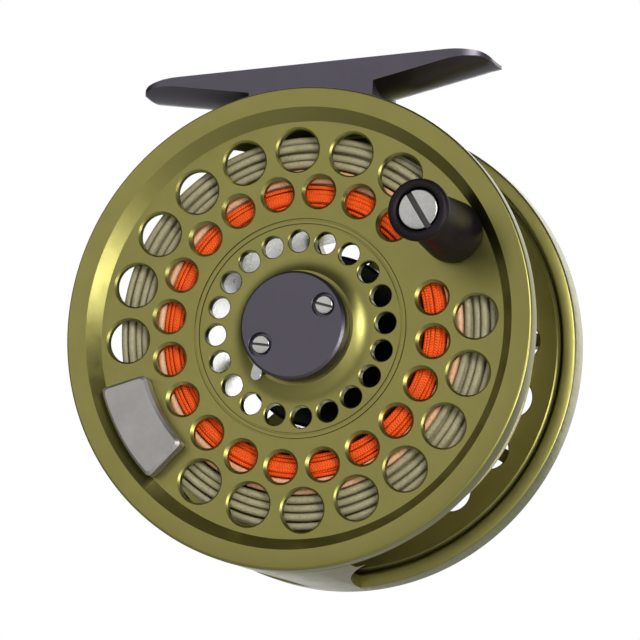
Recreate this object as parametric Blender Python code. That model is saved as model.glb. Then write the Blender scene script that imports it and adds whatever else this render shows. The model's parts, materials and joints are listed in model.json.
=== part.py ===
"""Fly reel: a ported click-and-pawl reel with an open cage frame, a drilled spool, wound line and a rod foot.

Lengths are in millimetres and angles in degrees, and MM turns lengths into Blender's metres.
The world origin is the middle of the foot's seat, +Z points out of the seat towards the rod,
+Y runs back along the spool's axis and +X is to the right of someone who faces the spool.
Shapes are drawn in reel coordinates: y = 0 is the drilled front face of the spool, y grows
towards the back plate, and x = z = 0 is the spool's axis. Angles turn from +X towards +Z.
"""

import math

import bmesh
import bpy
from mathutils import Matrix, Vector

MM = 0.001

# Overall placing
SEAT_HEIGHT = 44.7  # from the spool's axis up to the foot's seat
FOOT_Y = 15.3  # from the spool's face back to the middle of the foot

# Spool
RIM_R = 39.45
RIM_FRONT_Y = -2.35
RIM_BACK_Y = 0.6
RIM_INNER_R = 36.1
FACE_R = 34.15
WEB_BACK_Y = 1.5
ARBOR_R = 20.1
ARBOR_INNER_R = (16.9, 19.3)  # at the web and at the rear, as the wall flares
FLANGE_R = 36.6
FLANGE_FRONT_Y = 24.85
FLANGE_BACK_Y = 26.3
HUB_R = 6.2
HUB_BORE_R = 4.3
BOSS_R = 9.4
BOSS_FRONT_Y = -1.2
SHOULDER_R = 5.7
SHOULDER_Y = 21.0
HUB_END_Y = 25.2
SPOOL_REST_ANGLE = -0.8
PORT_PITCH = 18.0
LARGE_PORT = (29.5, 3.6)  # ring radius, hole radius
MEDIUM_PORT = (22.6, 2.75)
SMALL_PORT = (14.42, 1.8)
HANDLE_ANGLE = 28.0
WEIGHT_ANGLE = HANDLE_ANGLE + 180.0

# Frame
FRAME_R = 39.3
FRAME_INNER_R = 37.3
FRAME_FRONT_Y = 1.2
FRONT_RING_R = 38.4
FRONT_RING_BACK_Y = 4.2
REAR_RING_FRONT_Y = 24.6
RING_ROUND_R = 1.75
PLATE_FRONT_Y = 27.0
FRAME_BACK_Y = 29.9
SPOKE_COUNT = 10
SPOKE_WIDTH = 2.2
PLATE_WINDOW = (14.9, 34.6)  # inner and outer radius
TOP_PILLAR = (90.0, 22.0)  # middle angle, half width at the rear ring
BOTTOM_PILLAR = (265.0, 6.8)
PILLAR_FLARE = 12.0  # how far a pillar widens towards the front ring, each side

# Click mechanism
HOUSING_R = 14.4
HOUSING_INNER_R = 13.4
HOUSING_FRONT_Y = 12.0
HOUSING_BACK_Y = 26.8
HOUSING_HOLE_R = 8.8
HOUSING_BOSS = (11.3, 2.2)  # distance from the axis, radius
HOUSING_BOSS_ANGLES = (90.0, 210.0, 330.0)
GEAR_TEETH = 36
GEAR_TIP_R = 8.3
GEAR_ROOT_R = 7.5
GEAR_Y = (21.3, 23.5)
PAWL_Y = (21.4, 23.4)
PAWL_PIVOT = (9.9, 5.2)
PAWL_NOSE_R = 7.75
POST_R = 1.2

# Centre shaft
SPINDLE_R = 3.0
NECK_R = 2.1

# Latch under the cap
CAP_R = 8.85
CAP_BACK_Y = -1.35
CAP_FRONT_Y = -4.1
CAP_POCKET_R = 8.1
CAP_POCKET_Y = -2.6
CAP_SCREW_R = 6.1
LEVER_Y = (-2.45, -1.5)
TAB_LENGTH = 4.85
TAB_HALF_WIDTH = 0.9
TAB_ANGLE = 225.0  # direction of the tab from its pivot, in the lever's own axes

# Handle
HANDLE_R = 29.5
KNOB_BACK_Y = -0.35
KNOB_FRONT_Y = -19.8
KNOB_BORE_R = 1.72

# Counterweight
WEIGHT_SECTOR = (26.4, 34.2)
WEIGHT_HALF_ANGLE = 14.4
WEIGHT_Y = (-2.95, -0.15)
WEIGHT_SCREWS = (30.3, 8.0)  # distance from the axis, half the angle between the screws

# Line on the spool
BACKING_R = (20.3, 24.0)
LOOP_R = (24.2, 26.7)
LINE_R = (26.9, 32.6)
WINDING_Y = (1.8, 24.55)

# Foot
FOOT_HALF_LENGTH = 30.5
FOOT_HALF_WIDTH = 6.5
FOOT_SCREW_X = 7.0
SEAT_STRIP_HALF = 1.95
SEAT_GROOVE_R = 14.0
UNDERSIDE_SAG = 2.1
SADDLE_HALF_LENGTH = 10.5

GAP = 0.3
FIRST_CORNER = 7.7


# --- helpers ---------------------------------------------------------------------------------


def polar(radius, angle):
    """(x, z) of a point at this distance from the axis and this angle."""
    return radius * math.cos(math.radians(angle)), radius * math.sin(math.radians(angle))


def arc(radius, start, end, steps, centre=(0.0, 0.0)):
    """Points along an arc, both ends included."""
    points = []
    for step in range(steps + 1):
        x, z = polar(radius, start + (end - start) * step / steps)
        points.append((centre[0] + x, centre[1] + z))
    return points


def material(name, colour, roughness, metallic):
    made = bpy.data.materials.new(name)
    made.use_nodes = True
    made.diffuse_color = (*colour, 1.0)
    shader = made.node_tree.nodes["Principled BSDF"]
    shader.inputs["Base Color"].default_value = (*colour, 1.0)
    shader.inputs["Roughness"].default_value = roughness
    shader.inputs["Metallic"].default_value = metallic
    return made


def add_object(name, shape, finish, parent):
    """Turns a bmesh drawn in millimetres into an object in metres under its parent."""
    bmesh.ops.scale(shape, vec=Vector((MM, MM, MM)), verts=shape.verts)
    bmesh.ops.recalc_face_normals(shape, faces=shape.faces)
    mesh = bpy.data.meshes.new(name)
    shape.to_mesh(mesh)
    shape.free()
    mesh.shade_smooth()
    mesh.set_sharp_from_angle(angle=math.radians(30))
    made = bpy.data.objects.new(name, mesh)
    bpy.context.scene.collection.objects.link(made)
    made.parent = parent
    if finish:
        mesh.materials.append(finish)
    return made


def add_helper(name, shape, parent):
    """A cutter, or a piece that is joined to another object: it is not a part itself."""
    made = add_object(name, shape, None, parent)
    made.hide_render = True
    made.display_type = "WIRE"
    return made


def add_empty(name, location, parent=None, turn=0.0):
    """An empty on a joint's axis. turn is counter-clockwise for someone who faces the spool."""
    made = bpy.data.objects.new(name, None)
    bpy.context.scene.collection.objects.link(made)
    made.location = Vector(location) * MM
    made.rotation_euler.y = -math.radians(turn)
    made.empty_display_size = 5 * MM
    made.parent = parent
    return made


def boolean(target, other, operation="DIFFERENCE"):
    modifier = target.modifiers.new(other.name, "BOOLEAN")
    modifier.object = other
    modifier.operation = operation
    modifier.solver = "EXACT"


def join_flats(target):
    """Joins the flat pieces that the Booleans leave in one plane."""
    modifier = target.modifiers.new("flats", "DECIMATE")
    modifier.decimate_type = "DISSOLVE"
    modifier.angle_limit = math.radians(0.3)


def turned(profile, steps, first_angle=0.0):
    """Spins (radius, y) points round the Y axis. A profile that starts on the axis also ends on it."""
    shape = bmesh.new()
    x, z = polar(1.0, first_angle)
    points = [shape.verts.new((radius * x, y, radius * z)) for radius, y in profile]
    edges = [shape.edges.new(pair) for pair in zip(points, points[1:])]
    if profile[0][0] > 0.0:
        edges.append(shape.edges.new((points[-1], points[0])))
    bmesh.ops.spin(
        shape,
        geom=points + edges,
        cent=(0.0, 0.0, 0.0),
        axis=(0.0, 1.0, 0.0),
        angle=2.0 * math.pi,
        steps=steps,
        use_merge=True,
    )
    bmesh.ops.remove_doubles(shape, verts=shape.verts, dist=1e-5)
    return shape


def prism(outline, y_range, shape=None):
    """Extrudes a closed (x, z) outline along Y, into a bmesh of its own or into the one given."""
    shape = shape or bmesh.new()
    front = [shape.verts.new((x, y_range[0], z)) for x, z in outline]
    back = [shape.verts.new((x, y_range[1], z)) for x, z in outline]
    shape.faces.new(front)
    shape.faces.new(list(reversed(back)))
    for index in range(len(outline)):
        after = (index + 1) % len(outline)
        shape.faces.new((front[index], back[index], back[after], front[after]))
    return shape


def disc(centre, radius, y_range, steps=16, shape=None):
    """A cylinder along Y. Its first corner is turned a little, so that it never falls on another edge."""
    return prism(arc(radius, FIRST_CORNER, FIRST_CORNER + 360.0, steps, centre)[:-1], y_range, shape)


def washer(radii, y_range, steps):
    inner, outer = radii
    front, back = y_range
    return turned([(inner, front), (outer, front), (outer, back), (inner, back)], steps)


def split_ring(name, centre, radii, y_range, opening, finish, parent):
    """A flat C-shaped retaining ring. opening is its (start, end) angle."""
    inner, outer = radii
    outline = arc(outer, opening[1], opening[0] + 360.0, 10, centre)
    outline += arc(inner, opening[0] + 360.0, opening[1], 10, centre)
    return add_object(name, prism(outline, y_range), finish, parent)


def sector(radii, middle, half_angles, steps):
    """Outline of a ring segment. half_angles are those at the inner and the outer radius."""
    inner, outer = radii
    at_inner, at_outer = half_angles
    outline = arc(outer, middle - at_outer, middle + at_outer, steps)
    return outline + arc(inner, middle + at_inner, middle - at_inner, steps)


def round_long_edges(shape, radius, steps, sharper_than=50.0):
    """Rounds the edges that run along Y where the outline turns by more than this angle."""
    corners = [
        edge
        for edge in shape.edges
        if abs(edge.verts[0].co.y - edge.verts[1].co.y) > 0.1
        and edge.calc_face_angle(0.0) > math.radians(sharper_than)
    ]
    bmesh.ops.bevel(shape, geom=corners, offset=radius, segments=steps, profile=0.5, affect="EDGES")


def slotted_screw(name, centre, head, shank, slot, finish, parent, slot_angle=0.0):
    """A screw along Y whose head points forward or back.

    head is (radius, outer y, inner y), shank is (radius, end y) and slot is (width, depth).
    """
    head_r, head_outer, head_inner = head
    shank_r, shank_end = shank
    outward = math.copysign(1.0, head_outer - head_inner)
    profile = [
        (0.0, head_outer),
        (head_r, head_outer),
        (head_r, head_inner),
        (shank_r, head_inner),
        (shank_r, shank_end),
        (0.0, shank_end),
    ]
    shape = turned(profile, 12, 3.0)
    bmesh.ops.translate(shape, vec=(centre[0], 0.0, centre[1]), verts=shape.verts)
    screw = add_object(name, shape, finish, parent)
    width, depth = slot
    cutter = bmesh.new()
    floor = head_outer - outward * depth
    place = Matrix.Translation((centre[0], (floor + head_outer + outward) / 2.0, centre[1]))
    place = place @ Matrix.Rotation(-math.radians(slot_angle), 4, "Y")
    size = Matrix.Diagonal((4.0 * head_r, depth + 1.0, width, 1.0))
    bmesh.ops.create_cube(cutter, size=1.0, matrix=place @ size)
    boolean(screw, add_helper(name + "_slot", cutter, parent))
    join_flats(screw)


# --- frame -----------------------------------------------------------------------------------


def window_section(front_y):
    """(radius, y) outline of a side window where its front edge is at front_y."""
    inside = FRAME_INNER_R - 2.0
    outside = FRAME_R + 2.2
    centre = (FRAME_R - RING_ROUND_R, REAR_RING_FRONT_Y + RING_ROUND_R)
    rounded = [(centre[0] + x, centre[1] + z) for x, z in arc(RING_ROUND_R, -90.0, 0.0, 2)]
    rear_y = REAR_RING_FRONT_Y + RING_ROUND_R
    return [(inside, front_y), (inside, REAR_RING_FRONT_Y), *rounded, (outside, rear_y), (outside, front_y)]


def window_front(from_end):
    """Front edge of a side window this many degrees from its end: a smooth flare."""
    end_y = REAR_RING_FRONT_Y - 1.0
    power = 1.6
    share = max(0.0, (PILLAR_FLARE - from_end) / PILLAR_FLARE)
    reach = (1.0 - share**power) ** (1.0 / power)
    return end_y - (end_y - FRONT_RING_BACK_Y) * reach


def window_cutter(start, end):
    """Cuts one side window, from one pillar round to the next."""
    flare = [0.0, 0.2, 0.8, 2.0, 4.0, 7.5, PILLAR_FLARE]
    middle_steps = 14
    span = end - start - 2.0 * PILLAR_FLARE
    angles = [start + step for step in flare]
    angles += [start + PILLAR_FLARE + span * step / middle_steps for step in range(1, middle_steps)]
    angles += [end - step for step in reversed(flare)]
    shape = bmesh.new()
    rings = []
    for angle in angles:
        section = window_section(window_front(min(angle - start, end - angle)))
        rings.append([shape.verts.new((polar(r, angle)[0], y, polar(r, angle)[1])) for r, y in section])
    for ring, following in zip(rings, rings[1:]):
        for index in range(len(ring)):
            after = (index + 1) % len(ring)
            shape.faces.new((ring[index], ring[after], following[after], following[index]))
    shape.faces.new(rings[0])
    shape.faces.new(list(reversed(rings[-1])))
    return shape


def make_frame(finish, parent):
    screw_seat_r = 4.6
    screw_seat_y = 28.3
    screw_hole_r = 1.9
    edge = 0.5
    body = turned(
        [
            (FRAME_INNER_R, FRAME_FRONT_Y),
            (FRAME_R - 0.3, FRAME_FRONT_Y),
            (FRAME_R, FRAME_FRONT_Y + 0.3),
            (FRAME_R, FRAME_BACK_Y - edge),
            (FRAME_R - edge, FRAME_BACK_Y),
            (screw_seat_r, FRAME_BACK_Y),
            (screw_seat_r, screw_seat_y),
            (screw_hole_r, screw_seat_y),
            (screw_hole_r, PLATE_FRONT_Y),
            (FRAME_INNER_R, PLATE_FRONT_Y),
        ],
        48,
        1.3,
    )
    frame = add_object("frame", body, finish, parent)

    edges = [
        (BOTTOM_PILLAR[0] - 360.0 + BOTTOM_PILLAR[1], TOP_PILLAR[0] - TOP_PILLAR[1]),
        (TOP_PILLAR[0] + TOP_PILLAR[1], BOTTOM_PILLAR[0] - BOTTOM_PILLAR[1]),
    ]
    for side, (start, end) in zip(("right", "left"), edges):
        window = add_helper(f"frame_window_{side}", window_cutter(start, end), parent)
        boolean(frame, window)
        # The front ring is thinner than the pillars, to tuck in behind the spool's rim.
        inset = 8.5
        ring_back = FRONT_RING_BACK_Y + 0.2
        skin = sector((FRONT_RING_R, FRAME_R + 2.2), (start + end) / 2, [(end - start) / 2 - inset] * 2, 16)
        relief = add_helper(f"frame_relief_{side}", prism(skin, (FRAME_FRONT_Y - 0.4, ring_back)), parent)
        boolean(frame, relief)

    plate = bmesh.new()
    inner, outer = PLATE_WINDOW
    half_pitch = 180.0 / SPOKE_COUNT
    half_angles = [half_pitch - math.degrees(math.asin(SPOKE_WIDTH / 2 / r)) for r in PLATE_WINDOW]
    for index in range(SPOKE_COUNT):
        middle = half_pitch * (2 * index + 1)
        outline = sector((inner, outer), middle, half_angles, 4)
        prism(outline, (PLATE_FRONT_Y - 1.0, FRAME_BACK_Y + 1.0), plate)
    round_long_edges(plate, 1.6, 2)
    boolean(frame, add_helper("frame_plate_windows", plate, parent))

    holes = bmesh.new()
    through = (PLATE_FRONT_Y - 1.0, FRAME_BACK_Y + 1.0)
    for angle in HOUSING_BOSS_ANGLES:
        disc(polar(HOUSING_BOSS[0], angle), 1.0, (PLATE_FRONT_Y - 1.0, FRAME_BACK_Y - 1.0), 8, holes)
    for side in (-1.0, 1.0):
        disc((side * PAWL_PIVOT[0], PAWL_PIVOT[1]), POST_R + 0.2, through, 12, holes)
    boolean(frame, add_helper("frame_plate_holes", holes, parent))

    seats = bmesh.new()
    for angle in HOUSING_BOSS_ANGLES:
        disc(polar(HOUSING_BOSS[0], angle), 2.0, (FRAME_BACK_Y - 1.5, FRAME_BACK_Y + 1.0), 12, seats)
    boolean(frame, add_helper("frame_screw_seats", seats, parent))

    foot_holes = bmesh.new()
    for side in (-1.0, 1.0):
        place = Matrix.Translation((side * FOOT_SCREW_X, FOOT_Y, FRAME_R))
        bmesh.ops.create_cone(
            foot_holes, cap_ends=True, segments=14, radius1=1.45, radius2=1.45, depth=12.0, matrix=place
        )
    boolean(frame, add_helper("frame_foot_holes", foot_holes, parent))
    join_flats(frame)


# --- foot ------------------------------------------------------------------------------------


def seat_rise(y):
    """Height of the shallow groove along the foot's top, above its flat middle strip."""
    return max(0.0, (y * y - SEAT_STRIP_HALF**2) / (2.0 * SEAT_GROOVE_R))


def foot_section(x):
    """(half width, height of the side's lower edge, sag of the underside) at this x."""
    reach = abs(x)
    taper_start = 23.5
    if reach > taper_start:
        share = (reach - taper_start) / (FOOT_HALF_LENGTH - taper_start)
        half_width = FOOT_HALF_WIDTH - 3.7 * (1.0 - math.sqrt(max(0.0, 1.0 - share**2)))
    else:
        half_width = FOOT_HALF_WIDTH
    side_height = max(0.6, 1.1 + 0.184 * (26.5 - reach))
    if reach <= SADDLE_HALF_LENGTH:
        return half_width, SEAT_HEIGHT - 37.4, 0.0
    return half_width, side_height - seat_rise(FOOT_HALF_WIDTH), UNDERSIDE_SAG


def make_foot(finish, parent):
    half = [30.5, 30.1, 29.0, 27.0, 23.5, 17.0, 11.6, SADDLE_HALF_LENGTH, 3.5]
    stations = [-x for x in half] + list(reversed(half))
    shape = bmesh.new()
    rings = []
    for x in stations:
        half_width, drop, sag = foot_section(x)
        across = [share * half_width for share in (-1.0, -0.7, -0.3, 0.3, 0.7, 1.0)]
        top = [(y, seat_rise(y)) for y in across]
        bottom = [(y, -drop - sag * (1.0 - (y / FOOT_HALF_WIDTH) ** 2)) for y in reversed(across)]
        ring = [shape.verts.new((x, FOOT_Y + y, SEAT_HEIGHT + z)) for y, z in top + bottom]
        rings.append(ring)
    for ring, following in zip(rings, rings[1:]):
        for index in range(len(ring)):
            after = (index + 1) % len(ring)
            shape.faces.new((ring[index], ring[after], following[after], following[index]))
    shape.faces.new(rings[0])
    shape.faces.new(list(reversed(rings[-1])))
    foot = add_object("reel_foot", shape, finish, parent)

    saddle = disc((0.0, 0.0), FRAME_R + GAP, (FOOT_Y - 12.0, FOOT_Y + 12.0), 72)
    boolean(foot, add_helper("foot_saddle", saddle, parent))

    holes = bmesh.new()
    for side in (-1.0, 1.0):
        place = Matrix.Translation((side * FOOT_SCREW_X, FOOT_Y, SEAT_HEIGHT))
        bmesh.ops.create_cone(
            holes, cap_ends=True, segments=16, radius1=1.5, radius2=1.5, depth=20.0, matrix=place
        )
    boolean(foot, add_helper("foot_screw_holes", holes, parent))
    seats = bmesh.new()
    for side in (-1.0, 1.0):
        place = Matrix.Translation((side * FOOT_SCREW_X, FOOT_Y, SEAT_HEIGHT + 0.2))
        bmesh.ops.create_cone(
            seats, cap_ends=True, segments=20, radius1=2.8, radius2=2.8, depth=4.0, matrix=place
        )
    boolean(foot, add_helper("foot_screw_seats", seats, parent))
    join_flats(foot)


def make_foot_screw(name, x, finish, parent):
    """A slotted screw that goes down through the foot into the frame's top pillar."""
    head_top = -0.3
    head_bottom = -1.6
    shank_end = 37.7 - SEAT_HEIGHT
    profile = [
        (0.0, head_top),
        (2.5, head_top),
        (2.5, head_bottom),
        (1.25, head_bottom),
        (1.25, shank_end),
        (0.0, shank_end),
    ]
    shape = turned(profile, 12, 3.0)
    bmesh.ops.rotate(shape, matrix=Matrix.Rotation(math.radians(90), 3, "X"), verts=shape.verts)
    bmesh.ops.translate(shape, vec=(x, FOOT_Y, SEAT_HEIGHT), verts=shape.verts)
    screw = add_object(name, shape, finish, parent)
    slot = bmesh.new()
    place = Matrix.Translation((x, FOOT_Y, SEAT_HEIGHT + head_top))
    bmesh.ops.create_cube(slot, size=1.0, matrix=place @ Matrix.Diagonal((8.0, 0.8, 1.4, 1.0)))
    boolean(screw, add_helper(name + "_slot", slot, parent))


# --- centre shaft and click mechanism --------------------------------------------------------


def make_spindle(steel, parent):
    profile = [
        (0.0, -3.1),
        (2.3, -3.1),
        (2.7, -2.7),
        (NECK_R, -2.55),
        (NECK_R, -1.15),
        (SPINDLE_R, -1.15),
        (SPINDLE_R, 25.5),
        (5.2, 25.5),
        (5.2, 26.8),
        (1.75, 26.8),
        (1.75, 18.0),
        (0.0, 18.0),
    ]
    add_object("spindle", turned(profile, 18), steel, parent)
    slotted_screw(
        "spindle_screw", (0.0, 0.0), (4.2, 29.75, 28.5), (1.5, 19.0), (1.1, 0.7), steel, parent, 35.0
    )


def make_housing(finish, steel, parent):
    profile = [
        (HOUSING_HOLE_R, HOUSING_FRONT_Y),
        (HOUSING_R - 0.4, HOUSING_FRONT_Y),
        (HOUSING_R, HOUSING_FRONT_Y + 0.4),
        (HOUSING_R, HOUSING_BACK_Y),
        (HOUSING_INNER_R, HOUSING_BACK_Y),
        (HOUSING_INNER_R, HOUSING_FRONT_Y + 1.0),
        (HOUSING_HOLE_R, HOUSING_FRONT_Y + 1.0),
    ]
    housing = add_object("click_housing", turned(profile, 36, 1.3), finish, parent)
    bosses = bmesh.new()
    bores = bmesh.new()
    for angle in HOUSING_BOSS_ANGLES:
        centre = polar(HOUSING_BOSS[0], angle)
        disc(centre, HOUSING_BOSS[1], (HOUSING_FRONT_Y + 0.5, HOUSING_BACK_Y - 0.1), 10, bosses)
        disc(centre, 1.0, (HOUSING_BACK_Y - 5.0, HOUSING_BACK_Y + 1.0), 8, bores)
    boolean(housing, add_helper("housing_bosses", bosses, parent), "UNION")
    boolean(housing, add_helper("housing_bores", bores, parent))
    for number, angle in enumerate(HOUSING_BOSS_ANGLES, start=1):
        slotted_screw(
            f"housing_screw_{number}",
            polar(HOUSING_BOSS[0], angle),
            (1.75, FRAME_BACK_Y - 0.2, FRAME_BACK_Y - 1.35),
            (0.75, HOUSING_BACK_Y - 4.0),
            (0.5, 0.5),
            steel,
            parent,
            angle + 40.0,
        )


def make_pawl_side(side, hand, reel, pawl_empty, finishes):
    """One pawl with its post, clip and spring. hand is 1 on the right and -1 on the left."""
    pivot = (hand * PAWL_PIVOT[0], PAWL_PIVOT[1])
    front, back = PAWL_Y
    post = turned(
        [
            (0.0, 20.0),
            (POST_R, 20.0),
            (POST_R, 20.5),
            (0.8, 20.5),
            (0.8, 21.2),
            (POST_R, 21.2),
            (POST_R, 25.2),
            (1.9, 25.2),
            (1.9, 26.7),
            (POST_R, 26.7),
            (POST_R, FRAME_BACK_Y - 0.3),
            (0.0, FRAME_BACK_Y - 0.3),
        ],
        12,
    )
    bmesh.ops.translate(post, vec=(pivot[0], 0.0, pivot[1]), verts=post.verts)
    add_object(f"pawl_post_{side}", post, finishes["steel"], reel)
    split_ring(
        f"pawl_clip_{side}", pivot, (0.95, 1.9), (20.6, 21.1), (60.0, 110.0), finishes["steel"], reel
    )

    # The pawl and its spring are drawn from their pivot: across is towards the axis, up is +Z.
    nose = PAWL_PIVOT[0] - PAWL_NOSE_R
    tip_z = -PAWL_PIVOT[1]
    outline = [(nose, tip_z + 0.12), (nose - 0.85, tip_z + 0.52), (nose - 1.0, -2.4)]
    outline += arc(1.85, -25.0, 170.0, 10)
    outline += [(-1.2, -3.6), (nose - 3.0, tip_z - 0.1), (nose - 2.4, tip_z - 0.6)]
    outline += [(nose - 0.85, tip_z - 0.52), (nose, tip_z - 0.12)]
    outline = [(-hand * across, z) for across, z in outline]
    pawl = add_object(f"pawl_{side}", prism(outline, PAWL_Y), finishes["steel"], pawl_empty)
    hole = disc((0.0, 0.0), POST_R + 0.1, (front - 1.0, back + 1.0), 14)
    boolean(pawl, add_helper(f"pawl_hole_{side}", hole, pawl_empty))

    wire_r = 0.2
    coil_r = 1.65
    turns = 2.0
    steps = 16
    lowest = back + 0.25 + wire_r
    coil = []
    for step in range(steps + 1):
        angle = 150.0 + 360.0 * turns * step / steps
        x, z = polar(coil_r, angle)
        coil.append((-hand * x, lowest + 0.5 * turns * step / steps, z))
    end_x, end_y, end_z = coil[-1]
    leg = [(end_x - hand * 1.5, end_y, end_z + 1.3), (end_x - hand * 3.0, end_y, end_z + 2.6)]
    add_wire(f"pawl_spring_{side}", coil + leg, wire_r, finishes["steel"], pawl_empty)


def add_wire(name, points, radius, finish, parent):
    """A round wire through (x, y, z) points."""
    curve = bpy.data.curves.new(name, "CURVE")
    curve.dimensions = "3D"
    curve.bevel_depth = radius * MM
    curve.bevel_resolution = 1
    curve.use_fill_caps = True
    spline = curve.splines.new("POLY")
    spline.points.add(len(points) - 1)
    for spline_point, point in zip(spline.points, points):
        spline_point.co = (*(Vector(point) * MM), 1.0)
    curve.materials.append(finish)
    made = bpy.data.objects.new(name, curve)
    bpy.context.scene.collection.objects.link(made)
    made.parent = parent


# --- spool -----------------------------------------------------------------------------------


def ports(ring, skipped, y_range, steps, offset, shape):
    """Adds the cutters of one ring of round ports to a bmesh."""
    ring_r, hole_r = ring
    for index in range(int(360.0 / PORT_PITCH)):
        if index not in skipped:
            disc(polar(ring_r, PORT_PITCH * (index + offset)), hole_r, y_range, steps, shape)


def make_spool(finish, parent):
    groove_in, groove_out, groove_deep = 17.1, 18.1, 0.3
    clip_groove_r = 5.1
    profile = [
        (HUB_BORE_R, BOSS_FRONT_Y),
        (BOSS_R, BOSS_FRONT_Y),
        (10.6, -0.35),
        (12.9, 0.0),
        (groove_in, 0.0),
        (groove_in + 0.2, groove_deep),
        (groove_out - 0.2, groove_deep),
        (groove_out, 0.0),
        (FACE_R, 0.0),
        (RIM_INNER_R, RIM_FRONT_Y),
        (RIM_R - 0.3, RIM_FRONT_Y),
        (RIM_R, RIM_FRONT_Y + 0.3),
        (RIM_R, RIM_BACK_Y),
        (FLANGE_R, RIM_BACK_Y),
        (FLANGE_R - 0.2, WEB_BACK_Y),
        (ARBOR_R, WEB_BACK_Y),
        (ARBOR_R, FLANGE_FRONT_Y),
        (FLANGE_R, FLANGE_FRONT_Y),
        (FLANGE_R, FLANGE_BACK_Y),
        (ARBOR_INNER_R[1], FLANGE_BACK_Y),
        (ARBOR_INNER_R[0], WEB_BACK_Y + 0.3),
        (HUB_R, WEB_BACK_Y + 0.3),
        (HUB_R, SHOULDER_Y),
        (SHOULDER_R, SHOULDER_Y),
        (SHOULDER_R, 23.7),
        (clip_groove_r, 23.75),
        (clip_groove_r, 24.55),
        (SHOULDER_R, 24.6),
        (SHOULDER_R, HUB_END_Y),
        (HUB_BORE_R, HUB_END_Y),
    ]
    spool = add_object("spool", turned(profile, 40, 2.9), finish, parent)

    through_web = (-1.0, WEB_BACK_Y + 1.5)
    handle_side = (1, 2)
    weight_side = (11, 12)
    face = bmesh.new()
    ports(LARGE_PORT, handle_side + weight_side, through_web, 10, 0.0, face)
    ports(MEDIUM_PORT, (1,), through_web, 8, 0.5, face)
    ports(SMALL_PORT, (), through_web, 8, 0.0, face)
    disc(polar(HANDLE_R, HANDLE_ANGLE), 1.85, through_web, 12, face)
    for side in (-1.0, 1.0):
        hole = polar(WEIGHT_SCREWS[0], WEIGHT_ANGLE + side * WEIGHT_SCREWS[1])
        disc(hole, 1.2, through_web, 8, face)
    ports(LARGE_PORT, (), (FLANGE_FRONT_Y - 1.0, FLANGE_BACK_Y + 1.0), 10, 0.0, face)
    boolean(spool, add_helper("spool_ports", face, parent))

    seats = bmesh.new()
    for side in (-1.0, 1.0):
        hole = polar(WEIGHT_SCREWS[0], WEIGHT_ANGLE + side * WEIGHT_SCREWS[1])
        disc(hole, 2.2, (0.6, WEB_BACK_Y + 1.0), 12, seats)
        cap_hole = polar(side * CAP_SCREW_R, HANDLE_ANGLE)
        disc(cap_hole, 0.95, (BOSS_FRONT_Y - 1.0, 1.15), 10, seats)
    boolean(spool, add_helper("spool_screw_seats", seats, parent))
    join_flats(spool)


def make_hub_parts(finishes, parent):
    bushing = (SPINDLE_R + 0.1, HUB_BORE_R - 0.2)
    add_object("hub_bushing_front", washer(bushing, (-1.0, 6.0), 18), finishes["brass"], parent)
    add_object("hub_bushing_rear", washer(bushing, (18.2, 25.0), 18), finishes["brass"], parent)

    pitch = 360.0 / GEAR_TEETH
    half_tip, half_root = 1.2, 1.0
    outline = []
    for tooth in range(GEAR_TEETH):
        gap_middle = tooth * pitch - SPOOL_REST_ANGLE
        outline.append(polar(GEAR_ROOT_R, gap_middle - half_root))
        outline.append(polar(GEAR_ROOT_R, gap_middle + half_root))
        outline.append(polar(GEAR_TIP_R, gap_middle + pitch / 2 - half_tip))
        outline.append(polar(GEAR_TIP_R, gap_middle + pitch / 2 + half_tip))
    gear = add_object("click_gear", prism(outline, GEAR_Y), finishes["steel"], parent)
    bore = disc((0.0, 0.0), SHOULDER_R + 0.2, (GEAR_Y[0] - 1.0, GEAR_Y[1] + 1.0), 36)
    boolean(gear, add_helper("click_gear_bore", bore, parent))
    split_ring(
        "gear_clip", (0.0, 0.0), (5.3, 6.9), (23.9, 24.4), (-20.0, 20.0), finishes["steel"], parent
    )


def make_weight(finishes, parent):
    outline = sector(WEIGHT_SECTOR, WEIGHT_ANGLE, [WEIGHT_HALF_ANGLE] * 2, 10)
    shape = prism(outline, WEIGHT_Y)
    round_long_edges(shape, 0.8, 2)
    weight = add_object("counterweight", shape, finishes["weight"], parent)
    bevel = weight.modifiers.new("edges", "BEVEL")
    bevel.width = 0.3 * MM
    bevel.segments = 1
    bevel.limit_method = "ANGLE"
    bevel.angle_limit = math.radians(60)
    bores = bmesh.new()
    for number, side in enumerate((-1.0, 1.0), start=1):
        centre = polar(WEIGHT_SCREWS[0], WEIGHT_ANGLE + side * WEIGHT_SCREWS[1])
        disc(centre, 1.15, (-2.2, 1.0), 12, bores)
        slotted_screw(
            f"weight_screw_{number}",
            centre,
            (1.9, WEB_BACK_Y - 0.1, 0.75),
            (0.9, -2.0),
            (0.5, 0.3),
            finishes["steel"],
            parent,
            30.0 * number,
        )
    boolean(weight, add_helper("weight_bores", bores, parent))


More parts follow.
